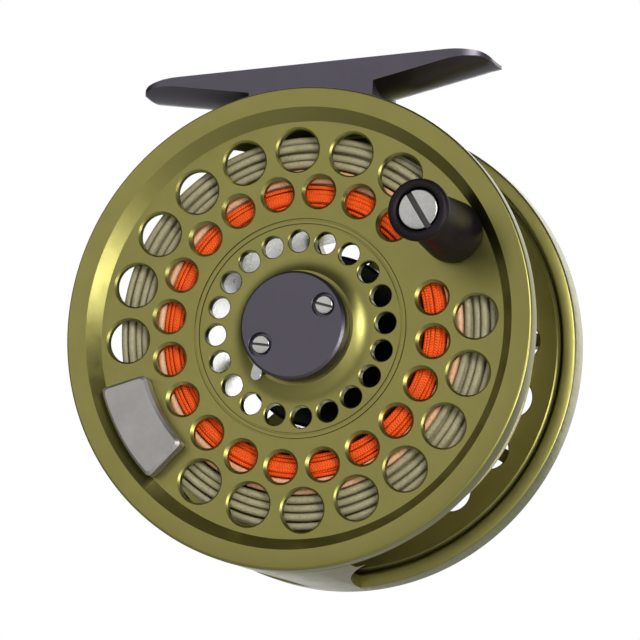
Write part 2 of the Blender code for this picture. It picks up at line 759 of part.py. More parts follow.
def make_latch(finishes, parent, lever_empty):
    """The dark cap over the hub, its two screws and the sprung lever under it."""
    profile = [
        (0.0, CAP_FRONT_Y),
        (CAP_R - 0.5, CAP_FRONT_Y),
        (CAP_R, CAP_FRONT_Y + 0.5),
        (CAP_R, CAP_BACK_Y),
        (CAP_POCKET_R, CAP_BACK_Y),
        (CAP_POCKET_R, CAP_POCKET_Y),
        (3.4, CAP_POCKET_Y),
        (3.4, -3.4),
        (0.0, -3.4),
    ]
    cap = add_object("latch_cap", turned(profile, 32, 1.3), finishes["dark"], parent)
    holes = bmesh.new()
    seats = bmesh.new()
    for number, side in enumerate((-1.0, 1.0), start=1):
        centre = polar(side * CAP_SCREW_R, HANDLE_ANGLE)
        disc(centre, 0.95, (CAP_FRONT_Y - 1.0, CAP_BACK_Y + 1.0), 12, holes)
        disc(centre, 1.95, (CAP_FRONT_Y - 1.0, -3.25), 20, seats)
        slotted_screw(
            f"cap_screw_{number}",
            centre,
            (1.5, CAP_FRONT_Y + 0.1, -3.4),
            (0.75, 0.9),
            (0.45, 0.35),
            finishes["steel"],
            parent,
            -10.0 if number == 1 else -18.0,
        )
    boolean(cap, add_helper("cap_holes", holes, parent))
    boolean(cap, add_helper("cap_screw_seats", seats, parent))

    along = Vector(polar(1.0, TAB_ANGLE))
    side = Vector((-along.y, along.x))
    notch = [along * a + side * s for a, s in ((1.7, -1.1), (5.5, -1.1), (5.5, 2.0), (1.7, 2.0))]
    cutter = prism([tuple(point) for point in notch], (CAP_POCKET_Y + 0.05, CAP_BACK_Y + 0.5))
    boolean(cap, add_helper("cap_notch", cutter, lever_empty))

    # The lever is drawn from its pivot, with x towards the spindle.
    inner = NECK_R + 0.15
    tab_tip = [along * TAB_LENGTH + Vector(polar(TAB_HALF_WIDTH, TAB_ANGLE + turn))
               for turn in (-90, -60, -30, 0, 30, 60, 90)]
    tab_root = 1.5
    outline = [tuple(along * tab_root - side * TAB_HALF_WIDTH)]
    outline += [tuple(point) for point in tab_tip]
    outline += [tuple(along * tab_root + side * TAB_HALF_WIDTH)]
    outline += arc(1.75, 275.0, 350.0, 4)
    outline += [(2.1, inner - 0.9), (2.9, inner), (8.2, inner)]
    outline += [(8.9, 3.0), (8.7, 3.9), (8.0, 4.2), (1.8, 4.2)]
    outline += arc(1.75, 120.0, 175.0, 4)
    lever = add_object("latch_lever", prism(outline, LEVER_Y), finishes["bright"], lever_empty)
    hole = disc((0.0, 0.0), 0.95, (LEVER_Y[0] - 1.0, LEVER_Y[1] + 1.0), 12)
    boolean(lever, add_helper("lever_hole", hole, lever_empty))

    middle_y = sum(LEVER_Y) / 2
    bow = []
    for step in range(9):
        share = step / 8
        bow.append((2.6 + 5.4 * share, middle_y, 4.6 + 1.9 * math.sin(math.pi * share)))
    add_wire("latch_spring", bow, 0.2, finishes["steel"], lever_empty)


def make_handle(finishes, parent, knob_empty):
    """The post is riveted in the spool's face, and the knob spins on it. Drawn from the knob's axis."""
    post = [
        (0.0, -10.0),
        (1.05, -10.0),
        (1.05, -17.0),
        (1.6, -17.0),
        (1.6, -0.9),
        (2.5, -0.9),
        (2.5, -0.15),
        (1.6, -0.15),
        (1.6, WEB_BACK_Y - 0.1),
        (0.0, WEB_BACK_Y - 0.1),
    ]
    centre = polar(HANDLE_R, HANDLE_ANGLE)
    shape = turned(post, 12)
    bmesh.ops.translate(shape, vec=(centre[0], 0.0, centre[1]), verts=shape.verts)
    add_object("handle_post", shape, finishes["steel"], parent)
    slotted_screw(
        "handle_screw",
        centre,
        (3.2, KNOB_FRONT_Y + 0.35, -17.75),
        (0.85, -11.5),
        (0.95, 0.8),
        finishes["bright"],
        parent,
        119.0,
    )
    knob = [
        (2.8, KNOB_BACK_Y),
        (4.6, KNOB_BACK_Y),
        (5.0, -0.75),
        (4.9, -2.8),
        (4.4, -7.8),
        (3.95, -12.6),
        (3.85, -14.6),
        (4.05, -16.3),
        (4.9, -17.9),
        (5.0, -18.8),
        (4.35, KNOB_FRONT_Y),
        (3.6, KNOB_FRONT_Y),
        (3.5, -17.6),
        (KNOB_BORE_R, -17.6),
        (KNOB_BORE_R, -1.3),
        (2.8, -1.3),
    ]
    add_object("handle_knob", turned(knob, 20), finishes["knob"], knob_empty)


def make_windings(finishes, parent):
    add_object("backing", washer(BACKING_R, WINDING_Y, 40), finishes["backing"], parent)
    add_object("line_loop", washer(LOOP_R, WINDING_Y, 40), finishes["loop"], parent)
    add_object("fly_line", washer(LINE_R, WINDING_Y, 40), finishes["line"], parent)


# --- whole reel ------------------------------------------------------------------------------


def main():
    for existing in list(bpy.data.objects):
        bpy.data.objects.remove(existing, do_unlink=True)

    finishes = {
        "olive": material("olive_anodised", (0.21, 0.19, 0.06), 0.38, 0.85),
        "dark": material("dark_anodised", (0.075, 0.07, 0.085), 0.4, 0.8),
        "black": material("black_anodised", (0.012, 0.01, 0.012), 0.5, 0.6),
        "steel": material("turned_steel", (0.55, 0.54, 0.52), 0.3, 1.0),
        "bright": material("bright_steel", (0.66, 0.65, 0.63), 0.25, 1.0),
        "weight": material("bead_blasted_steel", (0.34, 0.32, 0.31), 0.45, 1.0),
        "brass": material("bushing_brass", (0.72, 0.52, 0.22), 0.35, 1.0),
        "knob": material("black_acetal", (0.012, 0.011, 0.013), 0.35, 0.0),
        "backing": material("orange_dacron", (0.85, 0.09, 0.01), 0.75, 0.0),
        "loop": material("peach_line", (0.6, 0.33, 0.17), 0.5, 0.0),
        "line": material("olive_fly_line", (0.34, 0.3, 0.16), 0.45, 0.0),
    }

    reel = add_empty("reel_axis", (0.0, -FOOT_Y, -SEAT_HEIGHT))
    spool_axis = add_empty("spool_axis", (0.0, 0.0, 0.0), reel, SPOOL_REST_ANGLE)
    handle_x, handle_z = polar(HANDLE_R, HANDLE_ANGLE)
    knob_axis = add_empty("knob_axis", (handle_x, 0.0, handle_z), spool_axis)
    pivot_x, pivot_z = polar(-CAP_SCREW_R, HANDLE_ANGLE)
    lever_axis = add_empty("lever_axis", (pivot_x, 0.0, pivot_z), spool_axis, HANDLE_ANGLE)

    make_frame(finishes["olive"], reel)
    make_foot(finishes["dark"], reel)
    make_foot_screw("foot_screw_left", -FOOT_SCREW_X, finishes["steel"], reel)
    make_foot_screw("foot_screw_right", FOOT_SCREW_X, finishes["steel"], reel)
    make_spindle(finishes["steel"], reel)
    make_housing(finishes["black"], finishes["steel"], reel)
    for side, hand in (("left", -1.0), ("right", 1.0)):
        pivot = (hand * PAWL_PIVOT[0], 0.0, PAWL_PIVOT[1])
        pawl_axis = add_empty(f"pawl_axis_{side}", pivot, reel)
        make_pawl_side(side, hand, reel, pawl_axis, finishes)

    make_spool(finishes["olive"], spool_axis)
    make_hub_parts(finishes, spool_axis)
    make_weight(finishes, spool_axis)
    make_latch(finishes, spool_axis, lever_axis)
    make_handle(finishes, spool_axis, knob_axis)
    make_windings(finishes, spool_axis)


main()
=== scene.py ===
"""The looks of a ported fly reel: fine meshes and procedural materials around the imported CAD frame.

Shapes are drawn in millimetres in reel coordinates: y = 0 is the drilled front face of the spool,
y grows towards the back plate, and x = z = 0 is the spool's axis. Angles are in degrees and turn
from +X towards +Z. place() moves a shape to where the frame has it.
"""

import json
import math
import random

import bmesh
import bpy
from mathutils import Matrix, Vector


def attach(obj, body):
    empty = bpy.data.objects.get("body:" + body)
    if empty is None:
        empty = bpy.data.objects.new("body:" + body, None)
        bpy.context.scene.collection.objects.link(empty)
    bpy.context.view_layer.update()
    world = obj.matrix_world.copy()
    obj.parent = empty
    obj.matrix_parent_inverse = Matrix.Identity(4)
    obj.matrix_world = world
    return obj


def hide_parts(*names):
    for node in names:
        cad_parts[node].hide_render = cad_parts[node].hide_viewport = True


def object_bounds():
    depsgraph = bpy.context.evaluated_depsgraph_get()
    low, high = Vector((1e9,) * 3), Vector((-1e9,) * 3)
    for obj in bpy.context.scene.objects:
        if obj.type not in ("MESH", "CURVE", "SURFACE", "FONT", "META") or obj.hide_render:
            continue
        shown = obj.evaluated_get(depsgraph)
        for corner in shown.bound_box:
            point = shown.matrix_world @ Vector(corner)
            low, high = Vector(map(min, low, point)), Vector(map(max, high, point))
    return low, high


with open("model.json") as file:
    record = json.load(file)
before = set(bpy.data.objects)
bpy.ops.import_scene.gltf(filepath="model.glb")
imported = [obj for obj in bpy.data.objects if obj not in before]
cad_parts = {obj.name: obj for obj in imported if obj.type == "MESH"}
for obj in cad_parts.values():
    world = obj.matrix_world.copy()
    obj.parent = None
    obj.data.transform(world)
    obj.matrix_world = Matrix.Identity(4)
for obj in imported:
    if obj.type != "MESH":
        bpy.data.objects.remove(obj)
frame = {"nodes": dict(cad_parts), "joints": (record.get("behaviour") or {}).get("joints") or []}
CAD_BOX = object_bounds()
MM = 0.001
RANDOM = random.Random(7)

JOINTS = {joint["name"]: joint for joint in frame["joints"]}
REEL = Vector(JOINTS["spool_spin"]["pos_m"])  # where the spool's axis meets its drilled face


def joint_place(name):
    """(x, z) of a joint's axis in reel coordinates."""
    place = (Vector(JOINTS[name]["pos_m"]) - REEL) / MM
    return place.x, place.z


SEAT_Z = -REEL.z / MM
FOOT_Y = -REEL.y / MM
KNOB = joint_place("knob_spin")
LEVER = joint_place("latch_press")
SPOOL_TURN = -0.8
HANDLE_ANGLE = math.degrees(math.atan2(KNOB[1], KNOB[0])) - SPOOL_TURN
WEIGHT_ANGLE = HANDLE_ANGLE + 180.0
CAP_SCREW_R = math.hypot(*LEVER)
ROUND = 240  # steps round the large turned pieces
BODY_TURN = 0.4  # first angle of large turned pieces, so that no edge falls on a cutter's
HOLE_TURN = 3.7  # first angle of holes and screws, for the same reason


# --- shapes ----------------------------------------------------------------------------------


def polar(radius, angle):
    return radius * math.cos(math.radians(angle)), radius * math.sin(math.radians(angle))


def arc(radius, start, end, steps, centre=(0.0, 0.0)):
    points = []
    for step in range(steps + 1):
        x, z = polar(radius, start + (end - start) * step / steps)
        points.append((centre[0] + x, centre[1] + z))
    return points


def turned(profile, steps, shape=None, centre=(0.0, 0.0), first_angle=0.0):
    """Spins a closed (radius, y) profile round a line along Y. Radius 0 gives one shared point."""
    shape = shape or bmesh.new()
    rings = []
    for radius, y in profile:
        if radius == 0.0:
            rings.append([shape.verts.new((centre[0], y, centre[1]))])
            continue
        circle = arc(radius, first_angle, first_angle + 360.0, steps, centre)[:-1]
        rings.append([shape.verts.new((x, y, z)) for x, z in circle])
    closed = profile[0][0] > 0.0
    pairs = list(zip(rings, rings[1:])) + ([(rings[-1], rings[0])] if closed else [])
    for ring, following in pairs:
        for index in range(steps):
            after = (index + 1) % steps
            corners = [ring[index % len(ring)], ring[after % len(ring)]]
            corners += [following[after % len(following)], following[index % len(following)]]
            shape.faces.new(list(dict.fromkeys(corners)))
    return shape


def prism(outline, y_range, shape=None):
    shape = shape or bmesh.new()
    front = [shape.verts.new((x, y_range[0], z)) for x, z in outline]
    back = [shape.verts.new((x, y_range[1], z)) for x, z in outline]
    join_rings([front, back], shape)
    return shape


def join_rings(rings, shape):
    """Skins a stack of point rings and closes both ends."""
    for ring, following in zip(rings, rings[1:]):
        for index in range(len(ring)):
            after = (index + 1) % len(ring)
            shape.faces.new((ring[index], ring[after], following[after], following[index]))
    shape.faces.new(rings[0])
    shape.faces.new(list(reversed(rings[-1])))


def sector(radii, middle, half_angles, steps):
    inner, outer = radii
    at_inner, at_outer = half_angles
    outline = arc(outer, middle - at_outer, middle + at_outer, steps)
    return outline + arc(inner, middle + at_inner, middle - at_inner, steps)


def bend(start, tip, end, steps):
    """Points of the curve that rounds off a corner's tip."""
    points = []
    for step in range(steps + 1):
        t = step / steps
        points.append(tuple(start * (1 - t) ** 2 + tip * 2 * t * (1 - t) + end * t**2))
    return points


def helper(name, shape):
    """A mesh object in reel coordinates that only serves a Boolean."""
    bmesh.ops.recalc_face_normals(shape, faces=shape.faces)
    mesh = bpy.data.meshes.new(name)
    shape.to_mesh(mesh)
    shape.free()
    made = bpy.data.objects.new(name, mesh)
    bpy.context.scene.collection.objects.link(made)
    return made


def combined(shape, cutting):
    """The shape with each of the cutting shapes taken out of it, as a new bmesh."""
    target = helper("target", shape)
    cutters = [helper("cutter", other) for other in cutting]
    for cutter in cutters:
        modifier = target.modifiers.new("boolean", "BOOLEAN")
        modifier.object = cutter
        modifier.operation = "DIFFERENCE"
        modifier.solver = "EXACT"
    graph = bpy.context.evaluated_depsgraph_get()
    result = bmesh.new()
    result.from_mesh(target.evaluated_get(graph).to_mesh())
    for spare in [target, *cutters]:
        mesh = spare.data
        bpy.data.objects.remove(spare)
        bpy.data.meshes.remove(mesh)
    return result


def place(name, shape, finish, slot, body, replaced=(), turn=0.0, smooth=28.0):
    """Makes a piece from a shape in reel coordinates, moves it to its place and rides it on a body."""
    bmesh.ops.recalc_face_normals(shape, faces=shape.faces)
    move = Matrix.Translation(REEL) @ Matrix.Rotation(-math.radians(turn), 4, "Y")
    bmesh.ops.transform(shape, matrix=move @ Matrix.Diagonal((MM, MM, MM, 1.0)), verts=shape.verts)
    mesh = bpy.data.meshes.new(name)
    shape.to_mesh(mesh)
    shape.free()
    mesh.shade_smooth()
    mesh.set_sharp_from_angle(angle=math.radians(smooth))
    mesh.materials.append(finish)
    if "screw" in name:  # slotted() gives the slot's faces this second material
        # the slot's faces get dark steel: painted shade in the slot
        mesh.materials.append(bpy.data.materials["slot_painted_shade"])
    made = bpy.data.objects.new(name, mesh)
    bpy.context.scene.collection.objects.link(made)
    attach(made, body)
    if replaced:
        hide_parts(*replaced)
    return made


def soften(piece, width, angle=40.0, segments=2):
    """Rounds a piece's sharp edges, so that they catch the light."""
    bevel = piece.modifiers.new("edges", "BEVEL")
    bevel.width = width * MM
    bevel.segments = segments
    bevel.limit_method = "ANGLE"
    bevel.angle_limit = math.radians(angle)
    bevel.harden_normals = False


# --- materials -------------------------------------------------------------------------------


class Nodes:
    """A short way to build a material's node tree."""

    def __init__(self, name):
        self.material = bpy.data.materials.new(name)
        self.material.use_nodes = True
        self.tree = self.material.node_tree
        self.shader = self.tree.nodes["Principled BSDF"]
        self.point = self.add("ShaderNodeTexCoord").outputs["Object"]

    def add(self, kind, **values):
        node = self.tree.nodes.new(kind)
        for key, value in values.items():
            if hasattr(node, key):
                setattr(node, key, value)
            else:
                node.inputs[key.replace("_", " ")].default_value = value
        return node

    def link(self, source, target):
        self.tree.links.new(source, target)

    def noise(self, scale, detail=3.0, roughness=0.55):
        node = self.add("ShaderNodeTexNoise", Scale=scale, Detail=detail, Roughness=roughness)
        self.link(self.point, node.inputs["Vector"])
        return node.outputs["Fac"]

    def math(self, operation, first, second=None):
        node = self.add("ShaderNodeMath", operation=operation)
        for socket, value in zip(node.inputs, (first, second)):
            if value is None:
                continue
            if isinstance(value, (int, float)):
                socket.default_value = value
            else:
                self.link(value, socket)
        return node.outputs[0]

    def span(self, value, low, high, from_low=0.0, from_high=1.0):
        """value moved from one range to another, and held there."""
        node = self.add("ShaderNodeMapRange")
        for name, number in (
            ("From Min", from_low),
            ("From Max", from_high),
            ("To Min", low),
            ("To Max", high),
        ):
            node.inputs[name].default_value = number
        self.link(value, node.inputs["Value"])
        return node.outputs["Result"]

    def blend(self, factor, first, second):
        node = self.add("ShaderNodeMix", data_type="RGBA")
        self.link(factor, node.inputs["Factor"])
        for name, value in (("A", first), ("B", second)):
            socket = [s for s in node.inputs if s.name == name and s.type == "RGBA"][0]
            if isinstance(value, tuple):
                socket.default_value = (*value, 1.0)
            else:
                self.link(value, socket)
        return [s for s in node.outputs if s.type == "RGBA"][0]

    def mottle(self, pattern, first, second, between=(0.3, 0.7)):
        """Two colours that the pattern mixes: all first below one value and all second above the other."""
        return self.blend(self.span(pattern, 0.0, 1.0, *between), first, second)

    def colour(self, value):
        self.link(value, self.shader.inputs["Base Color"])

    def roughness(self, value):
        self.link(value, self.shader.inputs["Roughness"])

    def bump(self, height, distance, strength=1.0):
        node = self.add("ShaderNodeBump", Distance=distance, Strength=strength)
        self.link(height, node.inputs["Height"])
        self.link(node.outputs["Normal"], self.shader.inputs["Normal"])

    def set(self, **values):
        for key, value in values.items():
            self.shader.inputs[key.replace("_", " ")].default_value = value

    def ripples(self, distance, pitch):
        """A sine wave along a distance, both in metres."""
        return self.math("SINE", self.math("MULTIPLY", distance, 2 * math.pi / pitch))

    def from_axis(self, centre=None):
        """Distance of a point from a line along Y, in metres."""
        centre = centre or Vector((REEL.x, 0.0, REEL.z))
        shifted = self.add("ShaderNodeVectorMath", operation="SUBTRACT")
        self.link(self.point, shifted.inputs[0])
        shifted.inputs[1].default_value = centre
        flat = self.add("ShaderNodeVectorMath", operation="MULTIPLY")
        self.link(shifted.outputs[0], flat.inputs[0])
        flat.inputs[1].default_value = (1.0, 0.0, 1.0)
        length = self.add("ShaderNodeVectorMath", operation="LENGTH")
        self.link(flat.outputs[0], length.inputs[0])
        return length.outputs["Value"]


def tint(colour, factor):
    return tuple(channel * factor for channel in colour)


def anodised(name, colour, rough, coat, turning=0.0):
    """Bead-blasted anodised aluminium: fine grain, slow cloudiness and, if asked, faint turning lines."""
    nodes = Nodes(name)
    cloud = nodes.noise(90.0, 3.0)
    grain = nodes.noise(9000.0, 2.0)
    mottled = nodes.mottle(cloud, tint(colour, 0.94), tint(colour, 1.06), (0.35, 0.65))
    nodes.colour(nodes.mottle(grain, tint(colour, 0.93), mottled))
    nodes.roughness(nodes.span(nodes.noise(400.0, 4.0), rough - 0.03, rough + 0.04, 0.3, 0.7))
    height = grain
    if turning:
        lines = nodes.ripples(nodes.from_axis(), 0.00014)
        worn = nodes.math("MULTIPLY", lines, nodes.span(nodes.noise(1500.0), 0.2, 1.0, 0.3, 0.7))
        height = nodes.math("ADD", grain, nodes.math("MULTIPLY", worn, turning))
    nodes.bump(height, 0.000006, 0.5)
    nodes.set(Metallic=1.0, Coat_Weight=coat, Coat_Roughness=0.32, Coat_IOR=1.55)
    return nodes.material


def steel(name, colour, rough, lathe_centre=None):
    """Turned steel: fine rings round the piece's own axis and small scratches."""
    nodes = Nodes(name)
    scratches = nodes.noise(2500.0, 5.0, 0.7)
    nodes.colour(nodes.mottle(scratches, tint(colour, 0.86), tint(colour, 1.08)))
    nodes.roughness(nodes.span(nodes.noise(700.0, 4.0), rough - 0.06, rough + 0.08, 0.3, 0.7))
    height = scratches
    if lathe_centre is not None:
        rings = nodes.ripples(nodes.from_axis(lathe_centre), 0.00011)
        height = nodes.math("ADD", scratches, nodes.math("MULTIPLY", rings, 0.35))
    nodes.bump(height, 0.000005, 0.6)
    nodes.set(Metallic=1.0)
    return nodes.material


def blasted_steel(name, colour):
    nodes = Nodes(name)
    grain = nodes.noise(6000.0, 3.0, 0.6)
    patches = nodes.noise(260.0, 4.0, 0.6)
    nodes.colour(nodes.mottle(patches, tint(colour, 0.88), tint(colour, 1.12)))
    nodes.roughness(nodes.span(patches, 0.4, 0.52, 0.3, 0.7))
    nodes.bump(grain, 0.00001, 0.6)
    nodes.set(Metallic=1.0)
    return nodes.material


def acetal(name):
    nodes = Nodes(name)
    turning = nodes.noise(1400.0, 2.0)
    smudges = nodes.noise(300.0, 4.0)
    nodes.colour(nodes.mottle(smudges, (0.004, 0.002, 0.004), (0.007, 0.004, 0.006), (0.35, 0.65)))
    nodes.roughness(nodes.span(smudges, 0.4, 0.5, 0.3, 0.7))
    nodes.bump(turning, 0.000006, 0.5)
    nodes.set(IOR=1.25)
    return nodes.material


def brass(name):
    nodes = Nodes(name)
    stains = nodes.noise(500.0, 4.0)
    nodes.colour(nodes.mottle(stains, (0.5, 0.33, 0.12), (0.78, 0.58, 0.27)))
    nodes.roughness(nodes.span(stains, 0.28, 0.42, 0.3, 0.7))
    nodes.bump(nodes.noise(4000.0), 0.000005, 0.5)
    nodes.set(Metallic=1.0)
    return nodes.material


def coated_line(name, colour, dark):
    """Plastic-coated fly line: smooth, with slow changes of tone and a little dirt."""
    nodes = Nodes(name)
    tone = nodes.noise(350.0, 3.0)
    dirt = nodes.noise(2600.0, 4.0, 0.65)
    base = nodes.mottle(tone, tint(colour, 0.88), tint(colour, 1.1))
    nodes.colour(nodes.mottle(dirt, dark, base, (0.36, 0.5)))
    nodes.roughness(nodes.span(dirt, 0.52, 0.42, 0.3, 0.7))
    nodes.bump(dirt, 0.00001, 0.5)
    nodes.set(IOR=1.46)
    return nodes.material


def braided_backing(name, colour, dark):
    """Braided Dacron: a fine crossing weave along each strand, from the strand's own UV map."""
    nodes = Nodes(name)
    uv = nodes.add("ShaderNodeUVMap", uv_map="along").outputs["UV"]
    parts = nodes.add("ShaderNodeSeparateXYZ")
    nodes.link(uv, parts.inputs[0])
    along, round_it = parts.outputs["X"], parts.outputs["Y"]
    plaits_along, plaits_round = 14.0, 12.566
    crossing = []
    for operation in ("ADD", "SUBTRACT"):
        run = nodes.math("MULTIPLY", along, plaits_along)
        lean = nodes.math("MULTIPLY", round_it, plaits_round)
        crossing.append(nodes.math("SINE", nodes.math(operation, run, lean)))
    weave = nodes.math("MAXIMUM", *crossing)
    tone = nodes.noise(500.0, 3.0)
    base = nodes.mottle(tone, tint(colour, 0.8), tint(colour, 1.1))
    nodes.colour(nodes.mottle(weave, dark, base, (-0.6, 0.5)))
    nodes.bump(weave, 0.00004, 0.6)
    nodes.set(Roughness=0.6, Specular_IOR_Level=0.25)
    return nodes.material


def painted_floor():
    nodes = Nodes("studio_floor")
    nodes.colour(nodes.blend(nodes.noise(3.0), (0.86, 0.86, 0.86), (0.9, 0.9, 0.9)))
    nodes.set(Roughness=0.8)
    return nodes.material


# --- spool -----------------------------------------------------------------------------------

PORT_PITCH = 18.0
WEB_BACK_Y = 1.5
FLANGE_Y = (24.85, 26.3)
LARGE_PORT = (29.5, 3.52, 0.3)  # ring radius, hole radius, chamfer
MEDIUM_PORT = (22.6, 2.5, 0.47)
SMALL_PORT = (14.42, 1.77, 0.16)
REAR_PORT = (29.85, 3.25, 0.25)
WEIGHT_SCREWS = (30.3, 8.0)  # distance from the axis, angle to each side of the weight's middle
WEIGHT_SCREW_ANGLES = [WEIGHT_ANGLE + side * WEIGHT_SCREWS[1] for side in (-1.0, 1.0)]
CAP_SCREW_PLACES = [polar(side * CAP_SCREW_R, HANDLE_ANGLE) for side in (-1.0, 1.0)]
CAP_SLOT_TURNS = (-10.0, -18.0)
LEVER_TAB_ANGLE = 225.0  # from the line between the cap's screws


def port(shape, centre, radius, y_range, chamfers, steps=40):
    """Cutter for a round hole with a chamfer at each mouth."""
    front, back = y_range
    at_front, at_back = chamfers
    over = 0.3
    profile = [
        (0.0, front - over),
        (radius + at_front + over, front - over),
        (radius, front + at_front),
        (radius, back - at_back),
        (radius + at_back + over, back + over),
        (0.0, back + over),
    ]
    turned(profile, steps, shape, centre, first_angle=HOLE_TURN)


def port_ring(shape, ring, skipped, y_range, offset, back_chamfer=0.12):
    ring_r, hole_r, chamfer = ring
    for index in range(int(360.0 / PORT_PITCH)):
        if index not in skipped:
            centre = polar(ring_r, PORT_PITCH * (index + offset))
            port(shape, centre, hole_r, y_range, (chamfer, back_chamfer))


def boss_fillet(steps):
    """The hollow curve from the boss down to the drilled face."""
    inner, outer, height = 9.4, 12.9, 1.2
    points = []
    for step in range(steps + 1):
        t = step / steps
        points.append((inner + (outer - inner) * t, -height * (1.0 - t) ** 2.3))
    return points


def make_spool(finish, painted_light_bore_finish):
    """Face, rim, arbor, rear flange and hub as one turned piece, with its ports.

    The arbor's inner wall flares towards the back. That wall takes near-white steel, painted light that
    makes the ports look see-through.
    """
    bore, boss_y = 4.3, -1.2
    rim_r, rim_front = 39.42, -2.35
    profile = [(bore, boss_y + 0.2), (bore + 0.2, boss_y), (9.2, boss_y)]
    profile += boss_fillet(10)
    profile += [(16.95, 0.0), (17.0, 0.26), (17.22, 0.26), (17.3, 0.06), (17.8, 0.06)]
    profile += [(17.88, 0.26), (18.1, 0.26), (18.15, 0.0)]
    profile += [(34.15, 0.0), (34.21, -0.05), (36.02, -2.28), (36.1, rim_front)]
    profile += arc(0.45, 270.0, 360.0, 5, (rim_r - 0.45, rim_front + 0.45))
    profile += [(rim_r, 0.25), (rim_r - 0.25, 0.6), (36.6, 0.6), (36.5, WEB_BACK_Y)]
    profile += [(20.1, WEB_BACK_Y), (20.1, FLANGE_Y[0]), (36.1, FLANGE_Y[0]), (36.6, 25.3)]
    profile += [(36.6, 26.05), (36.35, FLANGE_Y[1]), (19.6, FLANGE_Y[1]), (19.3, 26.0)]
    profile += [(16.9, 1.8), (6.2, 1.8), (6.2, 21.0), (5.7, 21.0), (5.7, 23.7), (5.1, 23.7)]
    profile += [(5.1, 24.6), (5.7, 24.6), (5.7, 25.0), (5.5, 25.2), (bore, 25.2)]
    body = turned(profile, ROUND, first_angle=BODY_TURN)

    holes = bmesh.new()
    web = (0.0, WEB_BACK_Y)
    port_ring(holes, LARGE_PORT, (1, 2, 11, 12), web, 0.0)
    port_ring(holes, MEDIUM_PORT, (1,), web, 0.5)
    port_ring(holes, SMALL_PORT, (), (0.0, 1.8), 0.0)
    port_ring(holes, REAR_PORT, (), FLANGE_Y, 0.0, back_chamfer=0.3)
    port(holes, polar(29.5, HANDLE_ANGLE), 1.75, web, (0.0, 0.2), 24)
    counterbore = [(0.0, -0.5), (1.1, -0.5), (1.1, 0.6), (2.1, 0.6), (2.1, 2.0), (0.0, 2.0)]
    tapped = [(0.0, -2.0), (0.95, -2.0), (0.95, 1.15), (0.0, 1.15)]
    for weight_screw, cap_screw in zip(WEIGHT_SCREW_ANGLES, CAP_SCREW_PLACES):
        turned(counterbore, 24, holes, polar(WEIGHT_SCREWS[0], weight_screw), HOLE_TURN)
        turned(tapped, 20, holes, cap_screw)
    body = combined(body, [holes])
    for face in body.faces:
        middle = face.calc_center_median()
        distance = math.hypot(middle.x, middle.z)
        if 16.7 < distance < 19.5 and 1.81 < middle.y < 26.1:  # the arbor's inner wall
            # near-white steel here is painted light, so the ports look see-through
            face.material_index = 1
    spool = place("spool_body", body, finish, "olive_anodised", "spool", ("spool",), SPOOL_TURN, 22.0)
    spool.data.materials.append(painted_light_bore_finish)


# --- windings --------------------------------------------------------------------------------


def wobble(amplitude, waves):
    """A smooth random swing round one turn."""
    parts = []
    for wave in waves:
        phase = RANDOM.uniform(0.0, 6.28)
        parts.append((wave, phase, RANDOM.uniform(0.4, 1.0) / wave**0.6))
    total = sum(height for _, _, height in parts)

    def swing(angle):
        a = math.radians(angle)
        return amplitude * sum(height * math.sin(wave * a + phase) for wave, phase, height in parts) / total

    return swing


def dipped(swing, depth, middle=192.0, width=30.0):
    """The same swing with a shallow dip on one side, where fewer turns have built up."""

    def with_dip(angle):
        return swing(angle) - depth * math.exp(-(((angle - middle) / width) ** 2))

    return with_dip


def strand(shape, line, radius, sides):
    """Sweeps a round section along a closed line of (angle, distance from the axis, y) points."""
    uv = shape.loops.layers.uv.get("along") or shape.loops.layers.uv.new("along")
    rings = []
    for angle, distance, y in line:
        ring = []
        for side in range(sides):
            across, ahead = polar(radius, 360.0 * side / sides)
            x, z = polar(distance + across, angle)
            ring.append(shape.verts.new((x, y + ahead, z)))
        rings.append(ring)
    pairs = list(zip(rings, rings[1:])) + [(rings[-1], rings[0])]
    step_length = math.radians(abs(line[1][0] - line[0][0])) * line[0][1]
    for number, (ring, following) in enumerate(pairs):
        for side in range(sides):
            after = (side + 1) % sides
            face = shape.faces.new((ring[side], ring[after], following[after], following[side]))
            ends = (number, number, number + 1, number + 1)
            rounds = (side, side + 1, side + 1, side)
            for loop, end, turn in zip(face.loops, ends, rounds):
                loop[uv].uv = (end * step_length, turn / sides)


def wound_turn(shape, distance, y, radius, swings, steps, sides=8):
    """One closed turn that swings in and out and to and fro."""
    outwards, along = swings
    line = []
    for step in range(steps):
        angle = 360.0 * step / steps
        line.append((angle, distance + outwards(angle), y + along(angle)))
    strand(shape, line, radius, sides)


def ring_core(shape, radii, y_range):
    """The plain inside of a winding, where no turn shows."""
    inner, outer = radii
    front, back = y_range
    turned([(inner, front), (outer, front), (outer, back), (inner, back)], CORE_STEPS, shape)


CORE_STEPS = 120
FINE_R = 0.29  # radius of a strand of backing
LOOP_LINE_R = 0.6
FLY_LINE_R = 0.62
FLY_LINE_LAYERS = 4
FLY_LINE_TURNS = 18
SHOWN_FROM_FRONT = 4  # turns of an inner layer that the ports can show
SHOWN_FROM_BACK = 3


def winding():
    shape = bmesh.new()
    shape.loops.layers.uv.new("along")
    return shape


